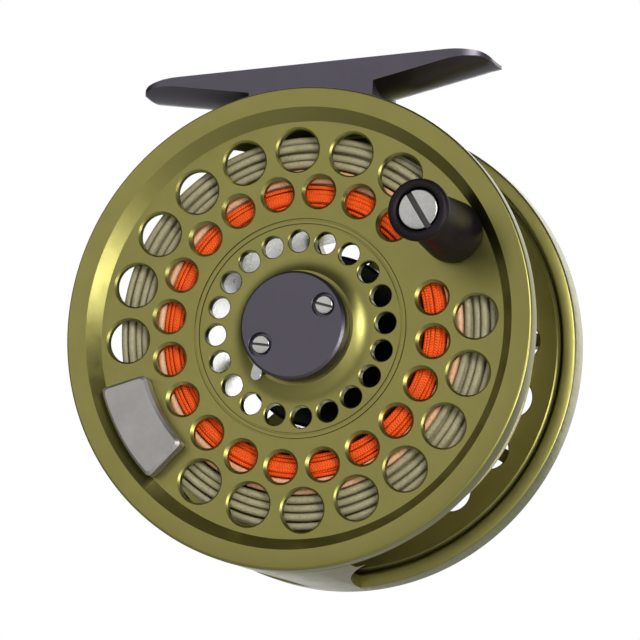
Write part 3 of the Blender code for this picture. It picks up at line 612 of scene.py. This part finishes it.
def make_windings(backing, loop, line):
    shape = winding()
    ring_core(shape, (20.3, 23.7), (3.4, 24.4))
    for layer in range(6):
        for turn in range(4):
            swings = (wobble(0.2, (1, 2, 3, 5)), wobble(0.2, (1, 2, 4)))
            wound_turn(shape, 20.6 + 0.62 * layer, 2.35 + 0.52 * turn, FINE_R, swings, 110, 7)
    for _ in range(5):
        swings = (wobble(0.6, (1, 2, 3)), wobble(0.03, (1, 2)))
        wound_turn(shape, RANDOM.uniform(21.3, 23.0), 2.12, FINE_R, swings, 110, 7)
    place("backing_strands", shape, backing, "orange_backing", "spool", ("backing",), SPOOL_TURN, 60.0)

    shape = winding()
    ring_core(shape, (24.2, 26.4), (3.4, 23.8))
    for distance, count in ((24.82, 3), (26.08, 18)):
        for turn in range(count):
            swings = (wobble(0.1, (1, 2, 3)), wobble(0.1, (1, 2)))
            wound_turn(shape, distance, 2.55 + 1.24 * turn, LOOP_LINE_R, swings, 120)
    place("peach_loop", shape, loop, "peach_line", "spool", ("line_loop",), SPOOL_TURN, 60.0)

    shape = winding()
    ring_core(shape, (27.2, 30.6), (3.6, 23.0))
    for layer in range(FLY_LINE_LAYERS):
        distance = 27.5 + 1.4 * layer
        first_y = 2.55 + (0.6 if layer % 2 else 0.0)
        for turn in range(FLY_LINE_TURNS):
            inner_layer = layer < FLY_LINE_LAYERS - 1
            if inner_layer and SHOWN_FROM_FRONT <= turn < FLY_LINE_TURNS - SHOWN_FROM_BACK:
                continue
            swings = (dipped(wobble(0.16, (1, 2, 3, 5)), 0.25 * layer), wobble(0.12, (1, 2, 3)))
            wound_turn(shape, distance, first_y + 1.25 * turn, FLY_LINE_R, swings, 150)
    place("fly_line_turns", shape, line, "olive_line", "spool", ("fly_line",), SPOOL_TURN, 60.0)


# --- frame -----------------------------------------------------------------------------------

FRAME_R = 39.3
RECESS_R = 37.3
FRAME_BACK_Y = 29.9
PLATE_Y = 27.0
REAR_RING_Y = 24.6
RING_ROUND_R = 1.75
FRONT_RING_BACK_Y = 4.2
TOP_PILLAR = (90.0, 22.0)
BOTTOM_PILLAR = (265.0, 6.8)
PILLAR_FLARE = 12.0
SPOKES = 10
PLATE_WINDOW = (14.9, 34.6)
FOOT_SCREWS_X = (-7.0, 7.0)
HOUSING_SCREW_R = 11.3
HOUSING_SCREW_ANGLES = (90.0, 210.0, 330.0)


def window_section(front_y):
    """(radius, y) outline of a side window: it leaves the rear ring's front edge rounded."""
    inside, outside = RECESS_R - 2.0, FRAME_R + 2.2
    centre = (FRAME_R - 0.5, REAR_RING_Y + 0.8)
    corner = [(FRAME_R - RING_ROUND_R, REAR_RING_Y), *arc(0.5, -75.0, 0.0, 6, centre)]
    rear_y = REAR_RING_Y + RING_ROUND_R
    return [(inside, front_y), (inside, REAR_RING_Y), *corner, (outside, rear_y), (outside, front_y)]


def window_front(from_end):
    """Front edge of a side window this many degrees from its end: a smooth flare."""
    end_y = REAR_RING_Y - 1.0
    power = 1.6
    share = max(0.0, (PILLAR_FLARE - from_end) / PILLAR_FLARE)
    return end_y - (end_y - FRONT_RING_BACK_Y) * (1.0 - share**power) ** (1.0 / power)


def window_cutter(start, end):
    """Cuts one side window, from one pillar round to the next."""
    flare = [PILLAR_FLARE * (step / 22) ** 2.2 for step in range(23)]
    middle = end - start - 2.0 * PILLAR_FLARE
    angles = [start + step for step in flare]
    angles += [start + PILLAR_FLARE + middle * step / 60 for step in range(1, 60)]
    angles += [end - step for step in reversed(flare)]
    shape = bmesh.new()
    rings = []
    for angle in angles:
        section = window_section(window_front(min(angle - start, end - angle)))
        ring = []
        for radius, y in section:
            x, z = polar(radius, angle)
            ring.append(shape.verts.new((x, y, z)))
        rings.append(ring)
    join_rings(rings, shape)
    return shape


def plate_window(shape, middle):
    """Cutter for one window between two spokes, with a small chamfer at the back and the front."""
    chamfer = 0.25
    rings = []
    levels = (
        (PLATE_Y - 1.0, 0.0),
        (FRAME_BACK_Y - chamfer, 0.0),
        (FRAME_BACK_Y + 0.2, chamfer + 0.2),
    )
    for y, wider in levels:
        inner, outer = PLATE_WINDOW[0] - wider, PLATE_WINDOW[1] + wider
        half_spoke = 1.1 - wider
        halves = [180.0 / SPOKES - math.degrees(math.asin(half_spoke / r)) for r in (inner, outer)]
        corner = 1.7
        outline = []
        for radius, half, turn in ((outer, halves[1], 1), (inner, halves[0], -1)):
            ease = math.degrees(corner / radius)
            side = radius - turn * corner
            side_half = 180.0 / SPOKES - math.degrees(math.asin(half_spoke / side))
            for end in (-turn, turn):
                start_point = Vector(polar(side, middle + end * side_half))
                tip = Vector(polar(radius, middle + end * half))
                end_point = Vector(polar(radius, middle + end * (half - ease)))
                rounding = bend(start_point, tip, end_point, 6)
                if end == turn:
                    rounding.reverse()
                    span = turn * (half - ease)
                    outline += arc(radius, middle - span, middle + span, 14)[1:-1]
                outline += rounding
        rings.append([shape.verts.new((x, y, z)) for x, z in outline])
    join_rings(rings, shape)


def make_frame(finish):
    edge = 0.45
    outer_edge = arc(edge, 0.0, 90.0, 4, (FRAME_R - edge, FRAME_BACK_Y - edge))
    profile = [(RECESS_R, 1.2), (FRAME_R - 0.3, 1.2), (FRAME_R, 1.5), *outer_edge]
    profile += [(4.8, FRAME_BACK_Y), (4.6, FRAME_BACK_Y - 0.2), (4.6, 28.3), (1.9, 28.3)]
    profile += [(1.9, PLATE_Y), (RECESS_R - 0.3, PLATE_Y), (RECESS_R, PLATE_Y - 0.3)]
    body = turned(profile, ROUND, first_angle=BODY_TURN)
    spans = [
        (BOTTOM_PILLAR[0] - 360.0 + BOTTOM_PILLAR[1], TOP_PILLAR[0] - TOP_PILLAR[1]),
        (TOP_PILLAR[0] + TOP_PILLAR[1], BOTTOM_PILLAR[0] - BOTTOM_PILLAR[1]),
    ]
    windows = [window_cutter(start, end) for start, end in spans]
    reliefs = []
    for start, end in spans:
        half = (end - start) / 2 - 8.5
        skin = sector((38.4, FRAME_R + 2.2), (start + end) / 2, (half, half), 80)
        reliefs.append(prism(skin, (0.8, FRONT_RING_BACK_Y + 0.2)))
    plate = bmesh.new()
    for index in range(SPOKES):
        plate_window(plate, 360.0 / SPOKES * (index + 0.5))
    holes = bmesh.new()
    for angle in HOUSING_SCREW_ANGLES:
        centre = polar(HOUSING_SCREW_R, angle)
        stepped = [(0.0, 26.5), (1.0, 26.5), (1.0, 28.4), (2.0, 28.4), (2.0, 29.8), (2.3, 30.1)]
        turned([*stepped, (0.0, 30.1)], 28, holes, centre, HOLE_TURN)
    for name in ("pawl_left_lift", "pawl_right_lift"):
        port(holes, joint_place(name), 1.35, (PLATE_Y, FRAME_BACK_Y), (0.0, 0.15), 24)
    foot_holes = bmesh.new()
    for x in FOOT_SCREWS_X:
        spot = Matrix.Translation((x, FOOT_Y, FRAME_R))
        size = {"segments": 20, "radius1": 1.45, "radius2": 1.45, "depth": 12.0}
        bmesh.ops.create_cone(foot_holes, cap_ends=True, matrix=spot, **size)
    body = combined(body, [*windows, *reliefs, plate, holes, foot_holes])
    place("frame_body", body, finish, "olive_anodised", "frame", ("frame",), smooth=22.0)


# --- foot ------------------------------------------------------------------------------------

FOOT_HALF = (30.5, 6.5)
FOOT_SHORTER = 0.989  # leaves room in the box for the softened tips
SEAT_STRIP_HALF = 1.95
FOOT_TAPER_START = 23.5
FOOT_TIP_START = 29.0
FOOT_STEM_HALF = 10.5


def seat_rise(y):
    """Height of the shallow groove along the foot's top, above its flat middle strip."""
    return max(0.0, (y * y - SEAT_STRIP_HALF**2) / 28.0)


def foot_ring(x):
    """Section of the foot across its length, as (y, z) from the middle of the seat."""
    reach = abs(x)
    share = max(0.0, (reach - FOOT_TAPER_START) / (FOOT_HALF[0] - FOOT_TAPER_START))
    half = FOOT_HALF[1] - 3.7 * (1.0 - math.sqrt(max(0.0, 1.0 - share**2)))
    side_height = max(0.6, 1.1 + 0.184 * (26.5 - reach))
    drop = side_height - seat_rise(FOOT_HALF[1])
    tip = max(0.0, (reach - FOOT_TIP_START) / (FOOT_HALF[0] - FOOT_TIP_START))
    kept = math.sqrt(1.0 - 0.82 * tip**2)
    sag = 2.1
    if reach <= FOOT_STEM_HALF:
        drop, sag = 7.3, 0.0
    steps = 12
    across = [half * (2.0 * step / steps - 1.0) for step in range(steps + 1)]
    top = [(y, seat_rise(y)) for y in across]
    bottom = [(y, -drop - sag * (1.0 - (y / FOOT_HALF[1]) ** 2)) for y in reversed(across)]
    middle = -side_height / 2.0
    return [(y, middle + (z - middle) * kept) for y, z in top + bottom]


def foot_screw_place(x):
    """Stands a shape drawn along Y upright in the seat."""
    return Matrix.Translation((x, FOOT_Y, SEAT_Z)) @ Matrix.Rotation(math.radians(90), 4, "X")


def make_foot(finish, screw_finish):
    ends = [FOOT_HALF[0] - 7.0 * (step / 16) ** 2 for step in range(17)]
    middle = [21.0, 18.0, 15.0, 12.6, 11.6, 10.9, FOOT_STEM_HALF, 7.0, 3.5]
    half = ends + middle
    stations = [-x for x in half] + list(reversed(half))
    shape = bmesh.new()
    rings = []
    for x in stations:
        shown = x * FOOT_SHORTER
        rings.append([shape.verts.new((shown, FOOT_Y + y, SEAT_Z + z)) for y, z in foot_ring(x)])
    join_rings(rings, shape)
    saddle_r, front, back = 39.6, FOOT_Y - 12.0, FOOT_Y + 12.0
    saddle = turned([(0.0, front), (saddle_r, front), (saddle_r, back), (0.0, back)], ROUND)
    holes = bmesh.new()
    for x in FOOT_SCREWS_X:
        hole = turned([(0.0, -10.0), (1.5, -10.0), (1.5, -1.8), (2.8, -1.8), (2.8, 1.5), (0.0, 1.5)], 32)
        bmesh.ops.transform(hole, matrix=foot_screw_place(x), verts=hole.verts)
        spare = bpy.data.meshes.new("spare")
        hole.to_mesh(spare)
        holes.from_mesh(spare)
        bpy.data.meshes.remove(spare)
    shape = combined(shape, [saddle, holes])
    foot = place("foot_body", shape, finish, "dark_anodised", "frame", ("reel_foot",), smooth=30.0)
    soften(foot, 0.22, 45.0)
    for x, name in zip(FOOT_SCREWS_X, ("foot_screw_left", "foot_screw_right")):
        screw = slotted((0.0, 0.0), (2.5, -0.3, -1.6), (1.25, -7.0), (0.8, 0.75), 0.0)
        bmesh.ops.transform(screw, matrix=foot_screw_place(x), verts=screw.verts)
        place(name + "_turned", screw, screw_finish, "steel", "frame", (name,))


def slotted(centre, head, shank, slot, slot_turn, steps=48):
    """A slotted screw along Y with rounded head edges.

    head is (radius, outer y, inner y), shank is (radius, end y) and slot is (width, depth).
    """
    head_r, outer, inner = head
    shank_r, shank_end = shank
    outward = math.copysign(1.0, outer - inner)
    round_r = min(0.25, head_r * 0.16)
    profile = [(0.0, outer)]
    for step in range(5):
        angle = math.radians(22.5 * step)
        lower = outward * round_r * (1.0 - math.cos(angle))
        profile.append((head_r - round_r + round_r * math.sin(angle), outer - lower))
    profile += [(head_r, inner), (shank_r, inner), (shank_r, shank_end), (0.0, shank_end)]
    shape = turned(profile, steps, None, centre, HOLE_TURN)
    width, depth = slot
    cutter = bmesh.new()
    floor = outer - outward * depth
    spot = Matrix.Translation((centre[0], (floor + outer + outward) / 2.0, centre[1]))
    spot = spot @ Matrix.Rotation(-math.radians(slot_turn), 4, "Y")
    size = Matrix.Diagonal((4.0 * head_r, depth + 1.0, width, 1.0))
    bmesh.ops.create_cube(cutter, size=1.0, matrix=spot @ size)
    shape = combined(shape, [cutter])
    aside = Vector(polar(1.0, slot_turn + 90.0))
    for face in shape.faces:
        middle = face.calc_center_median()
        across = abs(Vector((middle.x - centre[0], middle.z - centre[1])).dot(aside))
        below = (outer - middle.y) * outward
        # faces inside the slot take the second material, dark steel as painted shade
        if across < width / 2 + 0.01 and 0.02 < below < depth + 0.02:
            face.material_index = 1
    return shape


# --- small parts -----------------------------------------------------------------------------


def make_weight(finish, screw_finish):
    shape = bmesh.new()
    inner, outer, half, corner, chamfer = 26.4, 34.2, 14.4, 0.9, 0.45
    rings = []
    for y, inset in ((-0.15, 0.0), (-2.95 + chamfer, 0.0), (-2.95, chamfer)):
        radii = (inner + inset, outer - inset)
        outline = []
        for radius, turn in ((radii[1], 1), (radii[0], -1)):
            angle = half - math.degrees(inset / radius)
            ease = math.degrees(corner / radius)
            side = radius - turn * corner
            side_angle = half - math.degrees(inset / side)
            for end in (-turn, turn):
                start_point = Vector(polar(side, WEIGHT_ANGLE + end * side_angle))
                tip = Vector(polar(radius, WEIGHT_ANGLE + end * angle))
                end_point = Vector(polar(radius, WEIGHT_ANGLE + end * (angle - ease)))
                rounding = bend(start_point, tip, end_point, 5)
                if end == turn:
                    rounding.reverse()
                    span = turn * (angle - ease)
                    outline += arc(radius, WEIGHT_ANGLE - span, WEIGHT_ANGLE + span, 24)[1:-1]
                outline += rounding
        rings.append([shape.verts.new((x, y, z)) for x, z in outline])
    join_rings(rings, shape)
    bores = bmesh.new()
    for number, angle in enumerate(WEIGHT_SCREW_ANGLES, start=1):
        centre = polar(WEIGHT_SCREWS[0], angle)
        turned([(0.0, -2.2), (1.15, -2.2), (1.15, 0.5), (0.0, 0.5)], 24, bores, centre, HOLE_TURN)
        screw = slotted(centre, (1.9, WEB_BACK_Y - 0.1, 0.75), (0.9, -2.0), (0.5, 0.3), 30.0 * number)
        node = f"weight_screw_{number}"
        place(node + "_turned", screw, screw_finish, "steel", "spool", (node,), SPOOL_TURN)
    shape = combined(shape, [bores])
    replaced = ("counterweight",)
    place("counterweight_block", shape, finish, "blasted_steel", "spool", replaced, SPOOL_TURN, 25.0)


def make_cap(finish, screw_finish):
    cap_r, front, back = 8.85, -4.1, -1.35
    edge = 0.42
    profile = [(0.0, front), (cap_r - edge, front), (cap_r - 0.04, front + edge - 0.04)]
    profile += [(cap_r, front + edge + 0.1), (cap_r, back), (8.1, back)]
    profile += [(8.1, -2.6), (3.4, -2.6), (3.4, -3.4), (0.0, -3.4)]
    shape = turned(profile, 120, first_angle=BODY_TURN)
    holes = bmesh.new()
    stepped = [(0.0, front - 0.5), (2.3, front - 0.3), (1.97, front + 0.05), (1.95, -3.25)]
    stepped += [(0.95, -3.25), (0.95, -1.0), (0.0, -1.0)]
    for centre in CAP_SCREW_PLACES:
        turned(stepped, 40, holes, centre, HOLE_TURN)
    notch = bmesh.new()
    along = Vector(polar(1.0, LEVER_TAB_ANGLE + HANDLE_ANGLE))
    side = Vector((-along.y, along.x))
    pivot = Vector(CAP_SCREW_PLACES[0])
    corners = [pivot + along * a + side * s for a, s in ((1.7, -1.1), (5.5, -1.1), (5.5, 2.0), (1.7, 2.0))]
    prism([tuple(corner) for corner in corners], (-2.55, -0.85), notch)
    shape = combined(shape, [holes, notch])
    place("latch_cap_turned", shape, finish, "dark_anodised", "spool", ("latch_cap",), SPOOL_TURN, 25.0)
    for number, (centre, slot_turn) in enumerate(zip(CAP_SCREW_PLACES, CAP_SLOT_TURNS), start=1):
        screw = slotted(centre, (1.5, -4.0, -3.4), (0.75, 0.9), (0.42, 0.32), slot_turn)
        node = f"cap_screw_{number}"
        place(node + "_turned", screw, screw_finish, "steel", "spool", (node,), SPOOL_TURN)


def make_knob(finish, screw_finish):
    front = -19.8
    base_r, base_y = 4.98, -1.4
    profile = [(2.8, -1.3), (2.8, -0.35), (4.55, -0.35), (4.85, -0.45), (5.0, -0.75), (base_r, base_y)]
    waist_in, waist_length, steps = 1.13, 13.2, 18
    for step in range(1, steps + 1):
        t = step / steps
        narrower = waist_in * (t**1.05) * (1.0 - 0.1 * math.sin(math.pi * t))
        profile.append((base_r - narrower, base_y - waist_length * t))
    profile += [(3.85, -15.1), (3.9, -15.7), (4.02, -16.3), (4.25, -16.9), (4.55, -17.4), (4.8, -17.85)]
    profile += [(4.94, -18.3), (5.0, -18.75), (4.96, -19.15), (4.8, -19.5), (4.55, -19.72), (4.25, front)]
    profile += [(3.85, front), (3.6, -19.62), (3.5, -19.35), (3.5, -17.6), (1.75, -17.6), (1.75, -1.3)]
    knob = turned(profile, 96, None, KNOB)
    place("handle_knob_turned", knob, finish, "black_acetal", "knob", ("handle_knob",), 0.0, 40.0)
    screw = slotted(KNOB, (3.2, front + 0.35, -17.75), (0.85, -11.5), (0.95, 0.8), 119.0 + SPOOL_TURN, 72)
    place("handle_screw_turned", screw, screw_finish, "bright_steel", "spool", ("handle_screw",), 0.0, 30.0)


def make_back_screws(finish):
    spindle_screw = slotted((0.0, 0.0), (4.2, 29.75, 28.5), (1.5, 19.0), (1.1, 0.7), 35.0, 72)
    place("spindle_screw_turned", spindle_screw, finish, "steel", "frame", ("spindle_screw",))
    for number, angle in enumerate(HOUSING_SCREW_ANGLES, start=1):
        head = (1.75, FRAME_BACK_Y - 0.2, FRAME_BACK_Y - 1.35)
        screw = slotted(polar(HOUSING_SCREW_R, angle), head, (0.75, 22.8), (0.5, 0.5), angle + 40.0)
        node = f"housing_screw_{number}"
        place(node + "_turned", screw, finish, "steel", "frame", (node,))


def make_lever(finish):
    """The latch lever, drawn from its pivot with x towards the spindle, then turned to its place."""
    along = Vector(polar(1.0, LEVER_TAB_ANGLE))
    side = Vector((-along.y, along.x))
    half_tab, tab_start, tab_end = 0.9, 1.5, 4.85
    outline = [tuple(along * tab_start - side * half_tab)]
    for turn in range(-90, 91, 15):
        outline.append(tuple(along * tab_end + Vector(polar(half_tab, LEVER_TAB_ANGLE + turn))))
    outline.append(tuple(along * tab_start + side * half_tab))
    outline += arc(1.75, 275.0, 350.0, 12)
    outline += [(2.1, 1.35), (2.9, 2.25), (8.2, 2.25), (8.9, 3.0), (8.7, 3.9), (8.0, 4.2), (1.8, 4.2)]
    outline += arc(1.75, 120.0, 175.0, 8)
    hole = turned([(0.0, -3.0), (0.95, -3.0), (0.95, -1.0), (0.0, -1.0)], 24, first_angle=HOLE_TURN)
    shape = combined(prism(outline, (-2.45, -1.5)), [hole])
    x, z = CAP_SCREW_PLACES[0]
    move = Matrix.Translation((x, 0.0, z)) @ Matrix.Rotation(-math.radians(HANDLE_ANGLE), 4, "Y")
    bmesh.ops.transform(shape, matrix=move, verts=shape.verts)
    replaced = ("latch_lever",)
    lever = place("latch_lever_plate", shape, finish, "bright_steel", "latch", replaced, SPOOL_TURN, 30.0)
    soften(lever, 0.12, 50.0)


def make_housing(finish, painted_light_side_finish):
    profile = [(8.8, 12.3), (9.1, 12.0), (13.9, 12.0), (14.4, 12.5)]
    profile += [(14.4, 26.8), (13.4, 26.8), (13.4, 13.0), (8.8, 13.0)]
    shape = turned(profile, 120)
    for face in shape.faces:
        middle = face.calc_center_median()
        if math.hypot(middle.x, middle.z) > 14.2 and middle.y > 12.6:  # its outer side
            # the outer side takes near-white steel: painted light that makes the ports look see-through
            face.material_index = 1
    replaced = ("click_housing",)
    housing = place("click_housing_turned", shape, finish, "black_anodised", "frame", replaced)
    housing.data.materials.append(painted_light_side_finish)


# --- stage, light and camera -----------------------------------------------------------------

FLOOR_DROP = 0.28  # metres
FLOOR_HALF = 6.0
LENS = 249.6
CAMERA_PLACE = (219.6, -667.6, -131.2)  # in reel coordinates
CAMERA_HEADING = 17.94  # to the left of straight back
CAMERA_RISE = 10.68
CAMERA_ROLL = -1.51
ROOM_LIGHT = 0.1
# direction, cosine where the panel starts, cosine where it is full, strength
SOFT_PANELS = (
    ((-0.5, -0.8, 0.33), 0.6, 0.99, 1.13),
    ((0.0, 1.0, 0.05), 0.55, 0.85, 0.85),
    ((-0.15, 0.97, 0.1), 0.87, 0.965, 0.95),
    ((0.9, 0.45, 0.1), 0.88, 0.97, 0.6),
)


def make_camera():
    data = bpy.data.cameras.new("camera")
    data.lens = LENS
    data.sensor_width = 36.0
    data.clip_start = 0.01
    data.clip_end = 20.0
    camera = bpy.data.objects.new("camera", data)
    bpy.context.scene.collection.objects.link(camera)
    turn = Matrix.Rotation(math.radians(CAMERA_HEADING), 4, "Z")
    tip = Matrix.Rotation(math.radians(90.0 + CAMERA_RISE), 4, "X")
    roll = Matrix.Rotation(math.radians(CAMERA_ROLL), 4, "Z")
    camera.matrix_world = Matrix.Translation(REEL + Vector(CAMERA_PLACE) * MM) @ turn @ tip @ roll
    bpy.context.scene.camera = camera


def area_light(name, place_mm, size_mm, power):
    """A rectangular light, given in reel coordinates, that faces the middle of the spool's face."""
    data = bpy.data.lights.new(name, "AREA")
    data.shape = "RECTANGLE"
    data.size = size_mm[0] * MM
    data.size_y = size_mm[1] * MM
    data.energy = power
    light = bpy.data.objects.new(name, data)
    bpy.context.scene.collection.objects.link(light)
    light.location = REEL + Vector(place_mm) * MM
    towards = REEL - light.location
    light.rotation_mode = "QUATERNION"
    light.rotation_quaternion = towards.to_track_quat("-Z", "Y")


def make_world():
    """White to the eye. The object is lit by a dim room with a few large soft panels in it."""
    world = bpy.data.worlds.new("studio")
    bpy.context.scene.world = world
    world.use_nodes = True
    tree = world.node_tree
    tree.nodes.clear()
    out = tree.nodes.new("ShaderNodeOutputWorld")
    seen = tree.nodes.new("ShaderNodeBackground")
    seen.inputs["Color"].default_value = (1.0, 1.0, 1.0, 1.0)
    lit = tree.nodes.new("ShaderNodeBackground")
    ray = tree.nodes.new("ShaderNodeLightPath")
    mix = tree.nodes.new("ShaderNodeMixShader")
    way = tree.nodes.new("ShaderNodeTexCoord")
    total = None
    for towards, edge, core, strength in SOFT_PANELS:
        dot = tree.nodes.new("ShaderNodeVectorMath")
        dot.operation = "DOT_PRODUCT"
        tree.links.new(way.outputs["Generated"], dot.inputs[0])
        dot.inputs[1].default_value = Vector(towards).normalized()
        fade = tree.nodes.new("ShaderNodeMapRange")
        fade.interpolation_type = "SMOOTHSTEP"
        tree.links.new(dot.outputs["Value"], fade.inputs["Value"])
        fade.inputs["From Min"].default_value = edge
        fade.inputs["From Max"].default_value = core
        fade.inputs["To Max"].default_value = strength
        add = tree.nodes.new("ShaderNodeMath")
        tree.links.new(fade.outputs["Result"], add.inputs[0])
        if total is None:
            add.inputs[1].default_value = ROOM_LIGHT
        else:
            tree.links.new(total, add.inputs[1])
        total = add.outputs[0]
    tree.links.new(total, lit.inputs["Strength"])
    lit.inputs["Color"].default_value = (1.0, 1.0, 1.0, 1.0)
    tree.links.new(ray.outputs["Is Camera Ray"], mix.inputs["Fac"])
    tree.links.new(lit.outputs[0], mix.inputs[1])
    tree.links.new(seen.outputs[0], mix.inputs[2])
    tree.links.new(mix.outputs[0], out.inputs["Surface"])


def make_stage():
    shape = bmesh.new()
    bmesh.ops.create_grid(shape, x_segments=1, y_segments=1, size=FLOOR_HALF)
    mesh = bpy.data.meshes.new("studio_floor")
    shape.to_mesh(mesh)
    shape.free()
    mesh.materials.append(painted_floor())
    floor = bpy.data.objects.new("studio_floor", mesh)
    bpy.context.scene.collection.objects.link(floor)
    floor.location.z = CAD_BOX[0].z - FLOOR_DROP


# --- whole scene -----------------------------------------------------------------------------


KEPT_STEEL = (
    "spindle",
    "pawl_post_left",
    "pawl_post_right",
    "pawl_clip_left",
    "pawl_clip_right",
    "pawl_left",
    "pawl_right",
    "pawl_spring_left",
    "pawl_spring_right",
    "latch_spring",
    "click_gear",
    "gear_clip",
    "handle_post",
)


def dress(node, finish):
    """Gives a material to a CAD node that is shown as it is."""
    made = frame["nodes"][node]
    made.data.materials.clear()
    made.data.materials.append(finish)


def main():
    bpy.context.scene.view_settings.view_transform = "Standard"
    olive = anodised("olive_anodised", (0.214, 0.195, 0.05), 0.33, 0.3, 0.25)
    dark = anodised("dark_anodised", (0.075, 0.066, 0.085), 0.34, 0.35)
    black = anodised("black_anodised", (0.01, 0.008, 0.01), 0.45, 0.2)
    plain_steel = steel("turned_steel", (0.42, 0.41, 0.39), 0.3)
    knob_line = Vector(JOINTS["knob_spin"]["pos_m"])
    bright = steel("bright_steel", (0.4, 0.395, 0.38), 0.3, Vector((knob_line.x, 0.0, knob_line.z)))
    # dark steel for the slot faces of screws: painted shade in the slots
    steel("slot_painted_shade", (0.1, 0.095, 0.09), 0.55)
    # near-white mirror steel for the arbor's inner wall and the housing's side: painted light that makes
    # the ports look see-through
    bore = steel("bore_painted_white_light", (0.95, 0.95, 0.94), 0.3)
    weight = blasted_steel("blasted_steel", (0.335, 0.315, 0.305))
    knob_black = acetal("black_acetal")
    bushing = brass("bushing_brass")
    orange = braided_backing("orange_backing", (1.0, 0.12, 0.006), (0.5, 0.03, 0.003))
    peach = coated_line("peach_line", (0.78, 0.45, 0.25), (0.6, 0.32, 0.17))
    line = coated_line("olive_line", (0.35, 0.315, 0.185), (0.26, 0.23, 0.12))

    make_spool(olive, bore)
    make_windings(orange, peach, line)
    make_frame(olive)
    make_foot(dark, plain_steel)
    make_weight(weight, plain_steel)
    make_cap(dark, plain_steel)
    make_knob(knob_black, bright)
    make_back_screws(plain_steel)
    make_lever(bright)
    make_housing(black, bore)

    for node in KEPT_STEEL:
        dress(node, plain_steel)
    for node in ("hub_bushing_front", "hub_bushing_rear"):
        dress(node, bushing)

    make_stage()
    make_world()
    area_light("key", (750.0, -1050.0, 250.0), (500.0, 500.0), 11.5)
    area_light("low_side", (740.0, -180.0, -190.0), (320.0, 320.0), 3.8)
    make_camera()


main()
